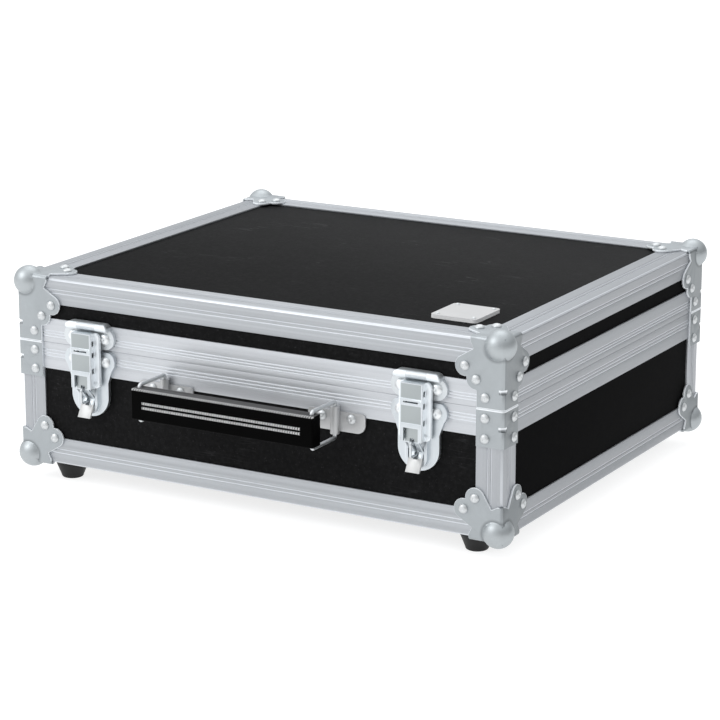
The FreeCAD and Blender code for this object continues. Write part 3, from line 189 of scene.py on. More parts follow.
@dataclass(frozen=True)
class Case:
    """Places of the case's faces and balls at rest, for patterns that follow them."""

    side: float = 230.0 * MM
    front: float = -173.85 * MM
    rear: float = 213.15 * MM
    bottom: float = 17.4 * MM
    top: float = 180.0 * MM
    split: float = 124.2 * MM
    latch: float = 157.5 * MM
    grip: float = 97.4 * MM
    grip_front: float = -221.35 * MM
    ball_inset: float = 5.4 * MM
    ball_radius: float = 12.8 * MM
    plate_wall: float = 2.0 * MM


CASE = Case()


class Tree:
    """A material's node tree, with one Principled shader and Object coordinates."""

    def __init__(self, name: str) -> None:
        """Start an empty material.

        Args:
            name: The material's name.
        """
        self.material = bpy.data.materials.new(name)
        self.material.use_nodes = True
        self.nodes = self.material.node_tree.nodes
        self.links = self.material.node_tree.links
        self.nodes.clear()
        self.shader = self.add("ShaderNodeBsdfPrincipled", {}, {})
        self.add("ShaderNodeOutputMaterial", {}, {"Surface": self.shader.outputs[0]})
        self.place = self.add("ShaderNodeTexCoord", {}, {}).outputs["Object"]
        parts = self.add("ShaderNodeSeparateXYZ", {}, {"Vector": self.place})
        self.x, self.y, self.z = (Value(self, parts.outputs[index]) for index in range(3))

    def add(self, kind: str, settings: dict[str, object],
            inputs: dict[str | int, object]) -> bpy.types.Node:
        """Add a node.

        Args:
            kind: The node's type.
            settings: Its own settings, which are set first.
            inputs: Values or links of its sockets, by name or number.

        Returns:
            The node.
        """
        node = self.nodes.new(kind)
        for name, setting in settings.items():
            setattr(node, name, setting)
        for name, value in inputs.items():
            self.feed(node.inputs[name], value)
        return node

    def feed(self, socket: bpy.types.NodeSocket, value: object) -> None:
        """Feed a socket.

        Args:
            socket: The socket.
            value: A value or another socket to link, or the colour or number to set.
        """
        if isinstance(value, Value):
            self.links.new(value.socket, socket)
        elif isinstance(value, bpy.types.NodeSocket):
            self.links.new(value, socket)
        elif isinstance(value, tuple) and socket.type == "RGBA":
            socket.default_value = (*value, 1.0)
        else:
            socket.default_value = value

    def surface(self, **inputs: object) -> None:
        """Set or link the shader's own sockets, with _ for a blank in a name."""
        for name, value in inputs.items():
            self.feed(self.shader.inputs[name.replace("_", " ")], value)

    def noise(self, scales: Scales | float, detail: float = 2.0, roughness: float = 0.5,
              shift: Scales = (0.0, 0.0, 0.0), turn: Scales = (0.0, 0.0, 0.0)) -> Value:
        """Soft noise from 0 to 1 that may be drawn out along an axis.

        Args:
            scales: Features for each metre, for all axes or along x, y and z.
            detail: Octaves.
            roughness: How strong the finer octaves are.
            shift: Where the pattern starts.
            turn: The pattern's turn about x, y and z, in radians.

        Returns:
            The noise.
        """
        if isinstance(scales, float):
            scales = (scales, scales, scales)
        mapped = self.add("ShaderNodeMapping", {},
                          {"Vector": self.place, "Scale": scales, "Location": shift,
                           "Rotation": turn})
        node = self.add("ShaderNodeTexNoise", {"noise_dimensions": "3D"},
                        {"Vector": mapped.outputs[0], "Scale": 1.0, "Detail": detail,
                         "Roughness": roughness})
        return Value(self, node.outputs["Fac"])

    def cells(self, scale: float) -> Value:
        """Distance to the nearest of scattered points, in pitches.

        Args:
            scale: Points for each metre.

        Returns:
            The distance.
        """
        node = self.add("ShaderNodeTexVoronoi", {"feature": "F1"},
                        {"Vector": self.place, "Scale": scale})
        return Value(self, node.outputs["Distance"])

    def scratches(self, length: float, width: float, turn: Scales, amount: float) -> Value:
        """Fine broken scratches in one direction, 1 on a scratch and 0 elsewhere.

        A scratch is where drawn-out noise crosses its middle value, kept only where a
        second, broad noise is high.

        Args:
            length: Rough length of a scratch in metres.
            width: Rough pitch across the scratches in metres.
            turn: The direction, as a turn about x, y and z.
            amount: Share of the surface that has them, from 0 to 1.

        Returns:
            The mask.
        """
        across, thinness = 1.0 / width, 0.02
        fine = self.noise((1.0 / length, across, across), 1.0, 0.4, turn=turn)
        line = 1.0 - abs(fine - 0.5).ramp(0.0, thinness)
        patch = self.noise(22.0, 2.0, shift=(3.0, 1.0, 7.0))
        return line * patch.ramp(0.62 - 0.3 * amount, 0.72 - 0.3 * amount)

    @cached_property
    def gaps(self) -> list[Value]:
        """Depth inside the nearer of the case's two faces along x, y and z."""
        spans = ((self.x, -CASE.side, CASE.side), (self.y, CASE.front, CASE.rear),
                 (self.z, CASE.bottom, CASE.top))
        return [(high - low) / 2 - abs(part - (low + high) / 2) for part, low, high in spans]

    @cached_property
    def sunk(self) -> Value:
        """Depth inside the case's outer faces: the least of its distances to them."""
        first, second, third = self.gaps
        return first.maths("MINIMUM", second).maths("MINIMUM", third)

    def from_ball(self) -> Value:
        """Distance to the middle of the nearest ball corner."""
        first, second, third = (gap - CASE.ball_inset for gap in self.gaps)
        return (first * first + second * second + third * third) ** 0.5

    def plate_rims(self, drops: Range, inland: Range) -> Value:
        """Mask of the rims of flat plates that lie on the case's faces.

        A rim is where a plate's skin drops below its outer face, away from the folds along
        the case's edges, where the middle one of the three depths is small as well.

        Args:
            drops: Depths below the outer face over which the mask rises.
            inland: Middle depths over which it rises.

        Returns:
            The mask.
        """
        first, second, third = self.gaps
        middle = first.maths("MINIMUM", second).maths(
            "MAXIMUM", first.maths("MAXIMUM", second).maths("MINIMUM", third))
        return ((self.sunk + CASE.plate_wall).ramp(*drops)
                * (middle + CASE.plate_wall).ramp(*inland))

    def edges(self, radius: float) -> Value:
        """Mask of the edges, full where a rounding turns the normal well.

        The mask grows with one minus the cosine of the turn, and is full from 0.2.

        Args:
            radius: Radius of the rounding.

        Returns:
            The mask.
        """
        rounded = self.add("ShaderNodeBevel", {"samples": 6}, {"Radius": radius})
        flat = self.add("ShaderNodeNewGeometry", {}, {})
        node = self.add("ShaderNodeVectorMath", {"operation": "DOT_PRODUCT"},
                        {0: rounded.outputs["Normal"], 1: flat.outputs["Normal"]})
        return (1.0 - Value(self, node.outputs["Value"])).ramp(0.0, 0.2)

    def blend(self, factor: Value, first: Colour | bpy.types.NodeSocket,
              second: Colour) -> bpy.types.NodeSocket:
        """Mix two colours.

        Args:
            factor: 0 gives the first and 1 the second.
            first: A colour or a colour's socket.
            second: A colour.

        Returns:
            The mixed colour's socket.
        """
        node = self.add("ShaderNodeMix", {"data_type": "RGBA"}, {0: factor, 6: first, 7: second})
        return node.outputs[2]

    def bump(self, height: Value, depth: float, strength: float = 1.0) -> None:
        """Raise the surface in shading.

        Args:
            height: The relief, from 0 to 1.
            depth: Its full height in metres.
            strength: How much of it shows.
        """
        node = self.add("ShaderNodeBump", {}, {"Height": height, "Distance": depth,
                                               "Strength": strength})
        self.surface(Normal=node.outputs[0])


# ---- Finishes ----

@dataclass(frozen=True)
class Finish:
    """A finish that pieces can share."""

    name: str

    def paint(self, tree: Tree) -> None:
        """Wire the finish up.

        Args:
            tree: The material's tree.
        """
        raise NotImplementedError

    def material(self) -> bpy.types.Material:
        """The finish's material, made once."""
        made = bpy.data.materials.get(self.name)
        if made is None:
            tree = Tree(self.name)
            self.paint(tree)
            made = tree.material
        return made


@dataclass(frozen=True)
class Laminate(Finish):
    """Black fine-grained laminate: a pebbled skin with pale specks, scuffs and dust.

    The flanks of the case, between two depths below its sides, get painted shade: darker, fewer
    specks, duller.
    """

    dark: Colour = (0.0030, 0.0030, 0.0032)
    light: Colour = (0.0140, 0.0140, 0.0145)
    speck: Colour = (0.040, 0.040, 0.042)
    flank: Range = (5.0 * MM, 3.0 * MM)

    def paint(self, tree: Tree) -> None:
        """Wire the finish up.

        Args:
            tree: The material's tree.
        """
        grain = tree.noise(900.0, 3.0, 0.6)
        pebble = tree.cells(620.0)
        blotch = tree.noise(260.0, 3.0, 0.65, shift=(7.0, 3.0, 5.0))
        cloud = tree.noise(9.0, 3.0, 0.55, shift=(2.0, 5.0, 1.0))
        speck = tree.noise(700.0, 1.0, shift=(9.0, 2.0, 4.0)).ramp(0.68, 0.78)
        scuff = tree.scratches(0.05, 0.004, (0.3, 0.5, 0.7), 0.22)
        tone = (grain * 0.25 + blotch.ramp(0.35, 0.75) * 0.4 + cloud * 0.2).clamped()
        # Painted shade: the flanks are painted darker, with fewer specks and scuffs.
        flank = abs(tree.x).ramp(CASE.side - self.flank[0], CASE.side - self.flank[1])
        base = tree.blend(tone * (1.0 - flank * 0.7), self.dark, self.light)
        flecks = (speck * 0.5 + scuff * 0.3) * (1.0 - flank * 0.85)
        tree.bump(grain * 0.5 + pebble * 0.5, 0.16 * MM, 0.5)
        tree.surface(
            Base_Color=tree.blend(flecks.clamped(), base, self.speck),
            Roughness=0.56 + grain * 0.14 + cloud * 0.08 - scuff * 0.12 + flank * 0.3,
            Specular_IOR_Level=0.055)


@dataclass(frozen=True)
class Extrusion(Finish):
    """Satin aluminium with straight drawing lines along its run, soft bands and wear."""

    run: Axis
    streaks: float
    dark: Colour
    light: Colour
    groove_light_share: float = 0.6
    groove_light: Colour = (0.84, 0.87, 0.91)
    scratch: Colour = (0.40, 0.41, 0.43)
    groove_depths: Window = (0.08 * MM, 0.3 * MM, 0.6 * MM, 0.9 * MM)

    def along(self, lengthwise: float, across: float) -> Scales:
        """Scales with one value along the run and another across it."""
        return tuple(lengthwise if axis is self.run else across for axis in Axis)

    def paint(self, tree: Tree) -> None:
        """Wire the finish up: the floors of the grooves get painted light, brighter than the
        worn faces.

        Args:
            tree: The material's tree.
        """
        lines = tree.noise(self.along(0.0, 1100.0), 2.0, 0.6) - 0.5
        bands = tree.noise(self.along(0.0, 260.0), 2.0, 0.5, shift=(4.0, 4.0, 4.0)) - 0.5
        cloud = tree.noise(14.0, 3.0, 0.6, shift=(1.0, 8.0, 3.0)) - 0.5
        grit = tree.noise(self.along(350.0, 1600.0), 2.0, 0.6, shift=(2.0, 6.0, 1.0)) - 0.5
        marks = tree.scratches(0.012, 0.0016, (0.4, 0.9, 1.3), 0.25)
        relief = lines * (0.7 * self.streaks) + bands * (1.1 * self.streaks)
        tone = (relief + cloud * 0.3 + grit * 0.3 + 0.5).clamped()
        base = tree.blend(tone, self.dark, self.light)
        # Painted light: the groove floors are lifted towards a pale colour against their shade.
        groove_light = tree.sunk.window(*self.groove_depths)
        base = tree.blend(groove_light * self.groove_light_share, base, self.groove_light)
        tree.bump(lines * self.streaks + 0.5, 0.02 * MM, 0.2)
        tree.surface(Base_Color=tree.blend(marks * 0.2, base, self.scratch),
                     Roughness=0.52 + lines * 0.10 + cloud * 0.08 + marks * 0.10,
                     Metallic=0.85)


@dataclass(frozen=True)
class PressedSteel(Finish):
    """Zinc-plated pressed sheet: an even satin skin, bright where bulges wear, with edges pale
    from wear and painted highlight, and painted shade.
    """

    dark: Colour = (0.37, 0.395, 0.41)
    light: Colour = (0.45, 0.48, 0.50)
    bulge: Colour = (0.47, 0.50, 0.515)
    wear_and_highlight: Colour = (0.90, 0.93, 0.96)
    scratch: Colour = (0.30, 0.31, 0.32)
    painted_shade: Colour = (0.10, 0.11, 0.115)
    bulge_depths: Range = (-0.1 * MM, -0.5 * MM)
    shade_flank_depths: Range = (0.6 * MM, 0.2 * MM)
    rim_drops: Range = (0.02 * MM, 0.22 * MM)
    rim_inland: Range = (3.0 * MM, 3.4 * MM)
    ball_crease_shadow: Window = (0.02 * MM, 0.3 * MM, 0.3 * MM, 2.6 * MM)
    crease_shadow_depths: Range = (2.0 * MM, 15.0 * MM)
    seam_highlight: Range = (1.2 * MM, 0.8 * MM)
    mark: float = 15.0 * MM
    mark_reach: Range = (5.2 * MM, 4.6 * MM)
    lit_upper_slope: Window = (0.1 * MM, 0.5 * MM, 1.7 * MM, 2.0 * MM)
    shaded_lower_slope: Window = (-2.1 * MM, -1.7 * MM, -0.6 * MM, -0.2 * MM)

    def paint(self, tree: Tree) -> None:
        """Wire the finish up: the ball is what stands out past the plates' faces.

        Args:
            tree: The material's tree.
        """
        mottle = tree.noise(150.0, 3.0, 0.6)
        fine = tree.noise(1400.0, 2.0, 0.5, shift=(3.0, 3.0, 3.0))
        marks = tree.scratches(0.008, 0.0011, (0.8, 0.2, 0.5), 0.3)
        bulge = (tree.sunk + CASE.plate_wall).ramp(*self.bulge_depths)
        base = tree.blend((mottle * 0.7 + fine * 0.3).clamped(), self.dark, self.light)
        # Painted shade on the flanks that face along x.
        flank = (tree.gaps[0] + CASE.plate_wall).ramp(*self.shade_flank_depths)
        base = tree.blend(flank * 0.45, base, self.painted_shade)
        base = tree.blend(bulge * 0.9, base, self.bulge)
        base = tree.blend(marks * 0.2, base, self.scratch)
        # Painted highlights on the rims, the seam and the marks' upper slopes, which are also
        # less metallic; painted shade on the marks' lower slopes.
        lit, shaded = self.pressings(tree)
        pale = (tree.plate_rims(self.rim_drops, self.rim_inland) + lit).clamped()
        base = tree.blend(pale * (0.7 + mottle * 0.5), base, self.wear_and_highlight)
        base = tree.blend(shaded * 0.55, base, self.painted_shade)
        # Painted shadow in a ring round each ball where it meets the plates, fainter near the
        # case's top.
        ball_crease_shadow = (tree.from_ball() - CASE.ball_radius).window(*self.ball_crease_shadow)
        under = (CASE.top - tree.z).ramp(*self.crease_shadow_depths)
        tree.bump(fine * 0.4 + mottle * 0.6, 0.03 * MM, 0.25)
        tree.surface(
            Base_Color=tree.blend(ball_crease_shadow * (0.05 + under * 0.4), base, self.painted_shade),
            Roughness=0.42 + bulge * 0.02 + mottle * 0.08 + fine * 0.04 + marks * 0.1,
            Metallic=1.0 - pale * 0.75)

    def pressings(self, tree: Tree) -> tuple[Value, Value]:
        """Masks of the painted highlights and the painted shade along the folded edges.

        The plates meet in a seam at the split, and each fold has a pressed mark above and
        below it, lit on its upper slope and shaded on its lower one.

        Args:
            tree: The material's tree.

        Returns:
            The lit places, seam included, and the shaded ones.
        """
        rise = tree.z - CASE.split
        beside = tree.gaps[0].maths("MAXIMUM", tree.gaps[1]) + CASE.plate_wall
        fold = beside.ramp(*self.mark_reach)
        lit, shaded = abs(rise).ramp(*self.seam_highlight), 0.0
        for middle in (self.mark, -self.mark):
            place = rise - middle
            lit = place.window(*self.lit_upper_slope) * fold + lit
            shaded = place.window(*self.shaded_lower_slope) * fold + shaded
        return lit, shaded


@dataclass(frozen=True)
class Plated(Finish):
    """Plated metal for rivets, wires and hinges, with fine marks and dull spots."""

    dark: Colour
    light: Colour
    dullness: float
    mottling: float = 260.0

    def paint(self, tree: Tree) -> None:
        """Wire the finish up.

        Args:
            tree: The material's tree.
        """
        mottle = tree.noise(self.mottling, 3.0, 0.6)
        fine = tree.noise(1900.0, 2.0, 0.5, shift=(1.0, 1.0, 1.0))
        marks = tree.scratches(0.006, 0.0009, (0.2, 0.9, 0.4), 0.25)
        base = tree.blend((mottle * 0.8 + fine * 0.2).clamped(), self.dark, self.light)
        tree.bump(fine * 0.5 + mottle * 0.5, 0.02 * MM, 0.2)
        tree.surface(Metallic=1.0)
        tree.surface(Base_Color=tree.blend(marks * 0.2, self.shaded(tree, base), self.dark),
                     Roughness=self.dullness + mottle * 0.08 + fine * 0.04 + marks * 0.1)

    def shaded(self, tree: Tree, base: bpy.types.NodeSocket) -> bpy.types.NodeSocket:
        """The base colour with what a kind of part adds to it; plain here."""
        return base


@dataclass(frozen=True)
class LatchPlate(Plated):
    """Bright zinc on a latch: folds painted pale as highlight and rims pale from wear and
    painted highlight, round duller flat panels.

    The panels are the claw's face above and below its bar, and the lever seen in the
    claw's window. Heights count from the split and depths outwards from the case's front.
    """

    panel: Colour = (0.38, 0.41, 0.415)
    wear_and_highlight: Colour = (0.90, 0.94, 0.97)
    tab: Colour = (0.60, 0.605, 0.60)
    rim: float = 0.6 * MM
    highlight_flank_aside: Range = (9.2 * MM, 9.6 * MM)
    highlight_flank_proud: Range = (6.5 * MM, 7.5 * MM)
    tab_rise: Range = (-43.5 * MM, -45.0 * MM)
    tab_proud: Range = (7.8 * MM, 8.4 * MM)
    panel_proud: Window = (13.35 * MM, 13.6 * MM, 16.4 * MM, 16.65 * MM)
    panel_aside: Range = (9.15 * MM, 8.65 * MM)
    panel_rises: tuple[Range, ...] = ((4.1 * MM, 15.8 * MM), (-16.0 * MM, -1.9 * MM),
                                      (-31.5 * MM, -20.1 * MM))
    soft: float = 0.25 * MM

    def shaded(self, tree: Tree, base: bpy.types.NodeSocket) -> bpy.types.NodeSocket:
        """Edges pale from wear and painted highlight, flanks painted pale as highlight, the warm
        tab below the staple, then the dull panels.

        Args:
            tree: The material's tree.
            base: The base colour's socket.

        Returns:
            The new colour's socket.
        """
        proud, rise = CASE.front - tree.y, tree.z - CASE.split
        aside = abs(abs(tree.x) - CASE.latch)
        # Painted highlight on the claw's flanks, and wear with painted highlight on its edges;
        # both are less metallic.
        flank = aside.ramp(*self.highlight_flank_aside) * proud.ramp(*self.highlight_flank_proud)
        pale = (tree.edges(self.rim) + flank).clamped()
        base = tree.blend(pale * 0.85, base, self.wear_and_highlight)
        tip = rise.ramp(*self.tab_rise) * proud.ramp(*self.tab_proud)
        base = tree.blend(tip, base, self.tab)
        tree.surface(Metallic=(1.0 - pale * 0.5 - tip * 0.7).clamped())
        panels, soft = 0.0, self.soft
        for low, high in self.panel_rises:
            panels = rise.window(low - soft, low + soft, high - soft, high + soft) + panels
        panels = panels * proud.window(*self.panel_proud) * aside.ramp(*self.panel_aside)
        return tree.blend(panels * 0.9, base, self.panel)


@dataclass(frozen=True)
class Moulded(Finish):
    """Black moulded plastic or rubber with a fine spark-eroded skin and handling shine."""

    dark: Colour
    light: Colour
    dullness: float
    shine: float

    def paint(self, tree: Tree) -> None:
        """Wire the finish up.

        Args:
            tree: The material's tree.
        """
        skin = tree.noise(1600.0, 2.0, 0.6)
        cloud = tree.noise(60.0, 3.0, 0.6, shift=(6.0, 2.0, 9.0))
        base = tree.blend((cloud * 0.6 + skin * 0.4).clamped(), self.dark, self.light)
        tree.bump(skin, 0.06 * MM, 0.5)
        tree.surface(Base_Color=self.with_painted_light(tree, base),
                     Roughness=self.dullness + skin * 0.14 - cloud * 0.10,
                     Specular_IOR_Level=self.shine)

    def with_painted_light(self, tree: Tree, base: bpy.types.NodeSocket) -> bpy.types.NodeSocket:
        """The base colour with a part's painted highlights and painted light; plain here."""
        return base


@dataclass(frozen=True)
class GripMoulding(Moulded):
    """The grip: black, with painted highlights dotted on its knurled ribs and painted light
    greying its ribbed top.

    Heights count from the grip's middle and depths inwards from the front of its ribs.
    """

    pale: Colour = (0.60, 0.60, 0.60)
    painted_top_light: Colour = (0.15, 0.15, 0.153)
    knurl: float = 2.3 * MM
    hatch_y: float = 1.5 * MM
    hatch_x: float = 1.7 * MM
    rib: float = 1.95 * MM
    rib_reach: Range = (1.25 * MM, 0.95 * MM)
    rib_ends: Range = (75.4 * MM, 75.0 * MM)
    rib_depth: Range = (1.0 * MM, 0.6 * MM)
    top_rise: Range = (12.5 * MM, 13.0 * MM)
    lip_rise: Range = (11.7 * MM, 12.1 * MM)
    lip_depth: Range = (3.4 * MM, 2.8 * MM)

    def with_painted_light(self, tree: Tree, base: bpy.types.NodeSocket) -> bpy.types.NodeSocket:
        """Painted highlights dotted along the ribs and the top's front edge, and painted light
        across the top, with fine lines.

        Args:
            tree: The material's tree.
            base: The base colour's socket.

        Returns:
            The new colour's socket.
        """
        dots = tree.x.wave(self.knurl) * 0.7 + tree.noise((900.0, 300.0, 300.0), 2.0) * 0.6
        rise, depth = tree.z - CASE.grip, tree.y - CASE.grip_front
        ribs = (abs(abs(rise) - self.rib).ramp(*self.rib_reach)
                * abs(tree.x).ramp(*self.rib_ends) * depth.ramp(*self.rib_depth))
        hatch = tree.y.wave(self.hatch_y) * 0.6 + tree.x.wave(self.hatch_x) * 0.4
        # Painted light greys the top; painted highlights dot its front edge and the ribs.
        base = tree.blend(rise.ramp(*self.top_rise) * (0.35 + hatch * 0.5), base, self.painted_top_light)
        lip = rise.ramp(*self.lip_rise) * depth.ramp(*self.lip_depth)
        base = tree.blend(lip * dots.ramp(0.3, 0.9) * 0.8, base, self.pale)
        return tree.blend(ribs * dots.ramp(0.25, 0.8), base, self.pale)


@dataclass(frozen=True)
class Foam(Finish):
    """Dark grey open-cell foam: small dark pores in a matt skin."""

    dark: Colour = (0.012, 0.012, 0.013)
    light: Colour = (0.052, 0.053, 0.057)

    def paint(self, tree: Tree) -> None:
        """Wire the finish up.

        Args:
            tree: The material's tree.
        """
        pores = tree.cells(900.0)
        coarse = tree.noise(300.0, 3.0, 0.7)
        cloud = tree.noise(12.0, 2.0, 0.5, shift=(5.0, 5.0, 5.0))
        open_cell = pores.ramp(0.15, 0.55)
        tone = (open_cell * 0.6 + coarse * 0.25 + cloud * 0.2).clamped()
        tree.bump(open_cell * 0.6 + coarse * 0.4, 0.4 * MM, 0.8)
        tree.surface(Base_Color=tree.blend(tone, self.dark, self.light),
                     Roughness=0.86 + coarse * 0.12, Specular_IOR_Level=0.15)


@dataclass(frozen=True)
class BrushedPlate(Finish):
    """Pale satin plate, brushed along x and left bare, with its edge below its top painted paler
    as light.
    """

    dark: Colour = (0.50, 0.50, 0.50)
    light: Colour = (0.63, 0.63, 0.63)
    edge: Colour = (0.95, 0.95, 0.95)
    top: float = 181.4 * MM
    lit_edge_depths: Range = (0.05 * MM, 0.25 * MM)

    def paint(self, tree: Tree) -> None:
        """Wire the finish up.

        Args:
            tree: The material's tree.
        """
        brush = tree.noise((40.0, 2600.0, 40.0), 2.0, 0.6)
        cloud = tree.noise(70.0, 3.0, 0.6)
        # Painted light: the plate's edge below its top is pale and not metallic.
        rim = (self.top - tree.z).ramp(*self.lit_edge_depths)
        base = tree.blend((brush * 0.6 + cloud * 0.4).clamped(), self.dark, self.light)
        tree.bump(brush, 0.03 * MM, 0.4)
        tree.surface(Base_Color=tree.blend(rim, base, self.edge),
                     Roughness=0.40 + brush * 0.14 + cloud * 0.06, Metallic=0.4 - rim * 0.4)


@dataclass(frozen=True)
class StudioFloor(Finish):
    """A plain pale floor."""

    tone: Colour = (0.36, 0.36, 0.36)
    light: Colour = (1.0, 1.0, 1.0)
    glow: float = 0.8

    def paint(self, tree: Tree) -> None:
        """Wire the finish up.

        Args:
            tree: The material's tree.
        """
        cloud = tree.noise(2.0, 2.0, 0.5)
        paler = tuple(part * 1.03 for part in self.tone)
        tree.surface(Base_Color=tree.blend(cloud, self.tone, paler), Roughness=0.9,
                     Specular_IOR_Level=0.1, Emission_Color=self.light,
                     Emission_Strength=self.glow)


LAMINATE = Laminate("black_laminate")
EXTRUSIONS = {
    Axis.X: Extrusion("satin_extrusion_x", Axis.X, 1.0, (0.375, 0.39, 0.41),
                      (0.54, 0.56, 0.585)),
    # The lengths along y sit on the case's sides and are painted darker, as shade.
    Axis.Y: Extrusion("satin_extrusion_y_painted_shade", Axis.Y, 0.4, (0.31, 0.322, 0.34),
                      (0.435, 0.452, 0.473)),
    Axis.Z: Extrusion("satin_extrusion_z", Axis.Z, 0.4, (0.355, 0.37, 0.39),
                      (0.51, 0.527, 0.552), 0.45)}
# The closing rails along x are painted lighter than the other lengths along x, as light against
# the grip's shade.
CLOSING_RAILS = {**EXTRUSIONS, Axis.X: Extrusion("satin_closing_rail_x_painted_light", Axis.X, 0.8,
                                                 (0.53, 0.545, 0.57), (0.67, 0.69, 0.72))}
CORNER_STEEL = PressedSteel("pressed_corner_steel")
RIVET_STEEL = Plated("rivet_heads", (0.56, 0.58, 0.59), (0.72, 0.74, 0.75), 0.42, 500.0)
LATCH_RIVET_STEEL = Plated("latch_rivet_heads", (0.80, 0.82, 0.83), (0.90, 0.92, 0.93), 0.4)
LATCH_ZINC = LatchPlate("bright_zinc", (0.58, 0.62, 0.65), (0.68, 0.72, 0.75), 0.36, 180.0)
STRIKE_ZINC = LatchPlate("strike_zinc", (0.66, 0.69, 0.71), (0.74, 0.77, 0.79), 0.5, 180.0)
LATCH_PINS = Plated("latch_pins", (0.60, 0.63, 0.65), (0.74, 0.77, 0.79), 0.30, 180.0)
WIRE_STEEL = Plated("plated_wire", (0.60, 0.62, 0.63), (0.76, 0.78, 0.79), 0.4, 240.0)
SADDLE_STEEL = Plated("saddle_plate", (0.50, 0.505, 0.51), (0.58, 0.585, 0.59), 0.5, 200.0)
GRIP_PLASTIC = GripMoulding("grip_moulding", (0.0005, 0.0005, 0.0005), (0.002, 0.002, 0.002),
                            0.5, 0.02)
FOOT_RUBBER = Moulded("foot_rubber", (0.005, 0.005, 0.0052), (0.018, 0.018, 0.019), 0.5, 0.28)
LINING_FOAM = Foam("lining_foam")
LABEL_METAL = BrushedPlate("bare_label_plate")
FLOOR = StudioFloor("pale_floor")


# ---- Surfaces ----

@dataclass
class Surface:
    """Points and faces of a mesh, as arrays."""

    points: np.ndarray
    quads: np.ndarray

    @staticmethod
    def grid(points: np.ndarray) -> "Surface":
        """A sheet of quads over a grid of points.

        Args:
            points: An array of rows, columns and 3 coordinates.

        Returns:
            The sheet, with normals along rows crossed with columns.
        """
        rows, columns = points.shape[:2]
        row, column = np.meshgrid(np.arange(rows - 1), np.arange(columns - 1), indexing="ij")
        corner = row * columns + column
        quads = np.stack([corner, corner + columns, corner + columns + 1, corner + 1], axis=-1)
        return Surface(points.reshape(-1, 3), quads.reshape(-1, 4))

    @staticmethod
    def joined(surfaces: list["Surface"]) -> "Surface":
        """Several surfaces as one.

        Args:
            surfaces: The surfaces to put together.

        Returns:
            One surface with all their points and faces.
        """
        starts = np.cumsum([0] + [len(surface.points) for surface in surfaces[:-1]])
        return Surface(np.concatenate([surface.points for surface in surfaces]),
                       np.concatenate([surface.quads + start
                                       for surface, start in zip(surfaces, starts)]))

    def piece(self, name: str, finish: Finish) -> bpy.types.Object:
        """Make the surface a mesh object at the origin, with its seams closed.

        Args:
            name: The piece's name.
            finish: Its finish.

        Returns:
            The object.
        """
        mesh = bpy.data.meshes.new(name)
        mesh.from_pydata(self.points.tolist(), [], self.quads.tolist())
        mesh.materials.append(finish.material())
        close_seams(mesh)
        mesh.polygons.foreach_set("use_smooth", np.ones(len(mesh.polygons), bool))
        made = bpy.data.objects.new(name, mesh)
        bpy.context.scene.collection.objects.link(made)
        return made


def close_seams(mesh: bpy.types.Mesh) -> None:
    """Merge the points that meet at seams and point every face outwards.

    Args:
        mesh: The mesh to close.
    """
    work = bmesh.new()
    work.from_mesh(mesh)
    bmesh.ops.remove_doubles(work, verts=work.verts, dist=1e-6)
    bmesh.ops.recalc_face_normals(work, faces=work.faces)
    work.to_mesh(mesh)
    work.free()


def rounded_block(low: np.ndarray, high: np.ndarray, radius: float, step: float) -> Surface:
    """A block with round edges, as six grids.

    A point of the sharp block is pulled back into the block smaller by the radius all
    round, then pushed out again by the radius along the direction it was pulled from.
    Each grid has even steps over its flat middle and four finer ones round each edge.

    Args:
        low: Lowest corner.
        high: Highest corner.
        radius: Radius of the edges.
        step: Size of a quad.

    Returns:
        The closed surface.
    """
    centre, half = (low + high) / 2, (high - low) / 2
    sheets = []
    for axis in range(3):
        first, second = (axis + 1) % 3, (axis + 2) % 3
        runs = []
        for other in (first, second):
            count = max(4, int(2 * half[other] / step))
            flat = np.linspace(-(half[other] - radius), half[other] - radius, count)
            curve = radius * np.sin(np.linspace(0.25, 1.0, 4) * math.pi / 4) * math.sqrt(2)
            runs.append(np.concatenate([-(half[other] - radius) - curve[::-1], flat,
                                        half[other] - radius + curve]))
        along, across = np.meshgrid(runs[0], runs[1], indexing="ij")
        for sign in (-1.0, 1.0):
            sharp = np.zeros((*along.shape, 3))
            sharp[..., first], sharp[..., second] = along, across
            sharp[..., axis] = sign * half[axis]
            inner = np.clip(sharp, -(half - radius), half - radius)
            out = sharp - inner
            out /= np.linalg.norm(out, axis=-1, keepdims=True)
            sheets.append(Surface.grid(centre + inner + radius * out))
    return Surface.joined(sheets)


# ---- Sub-assemblies ----

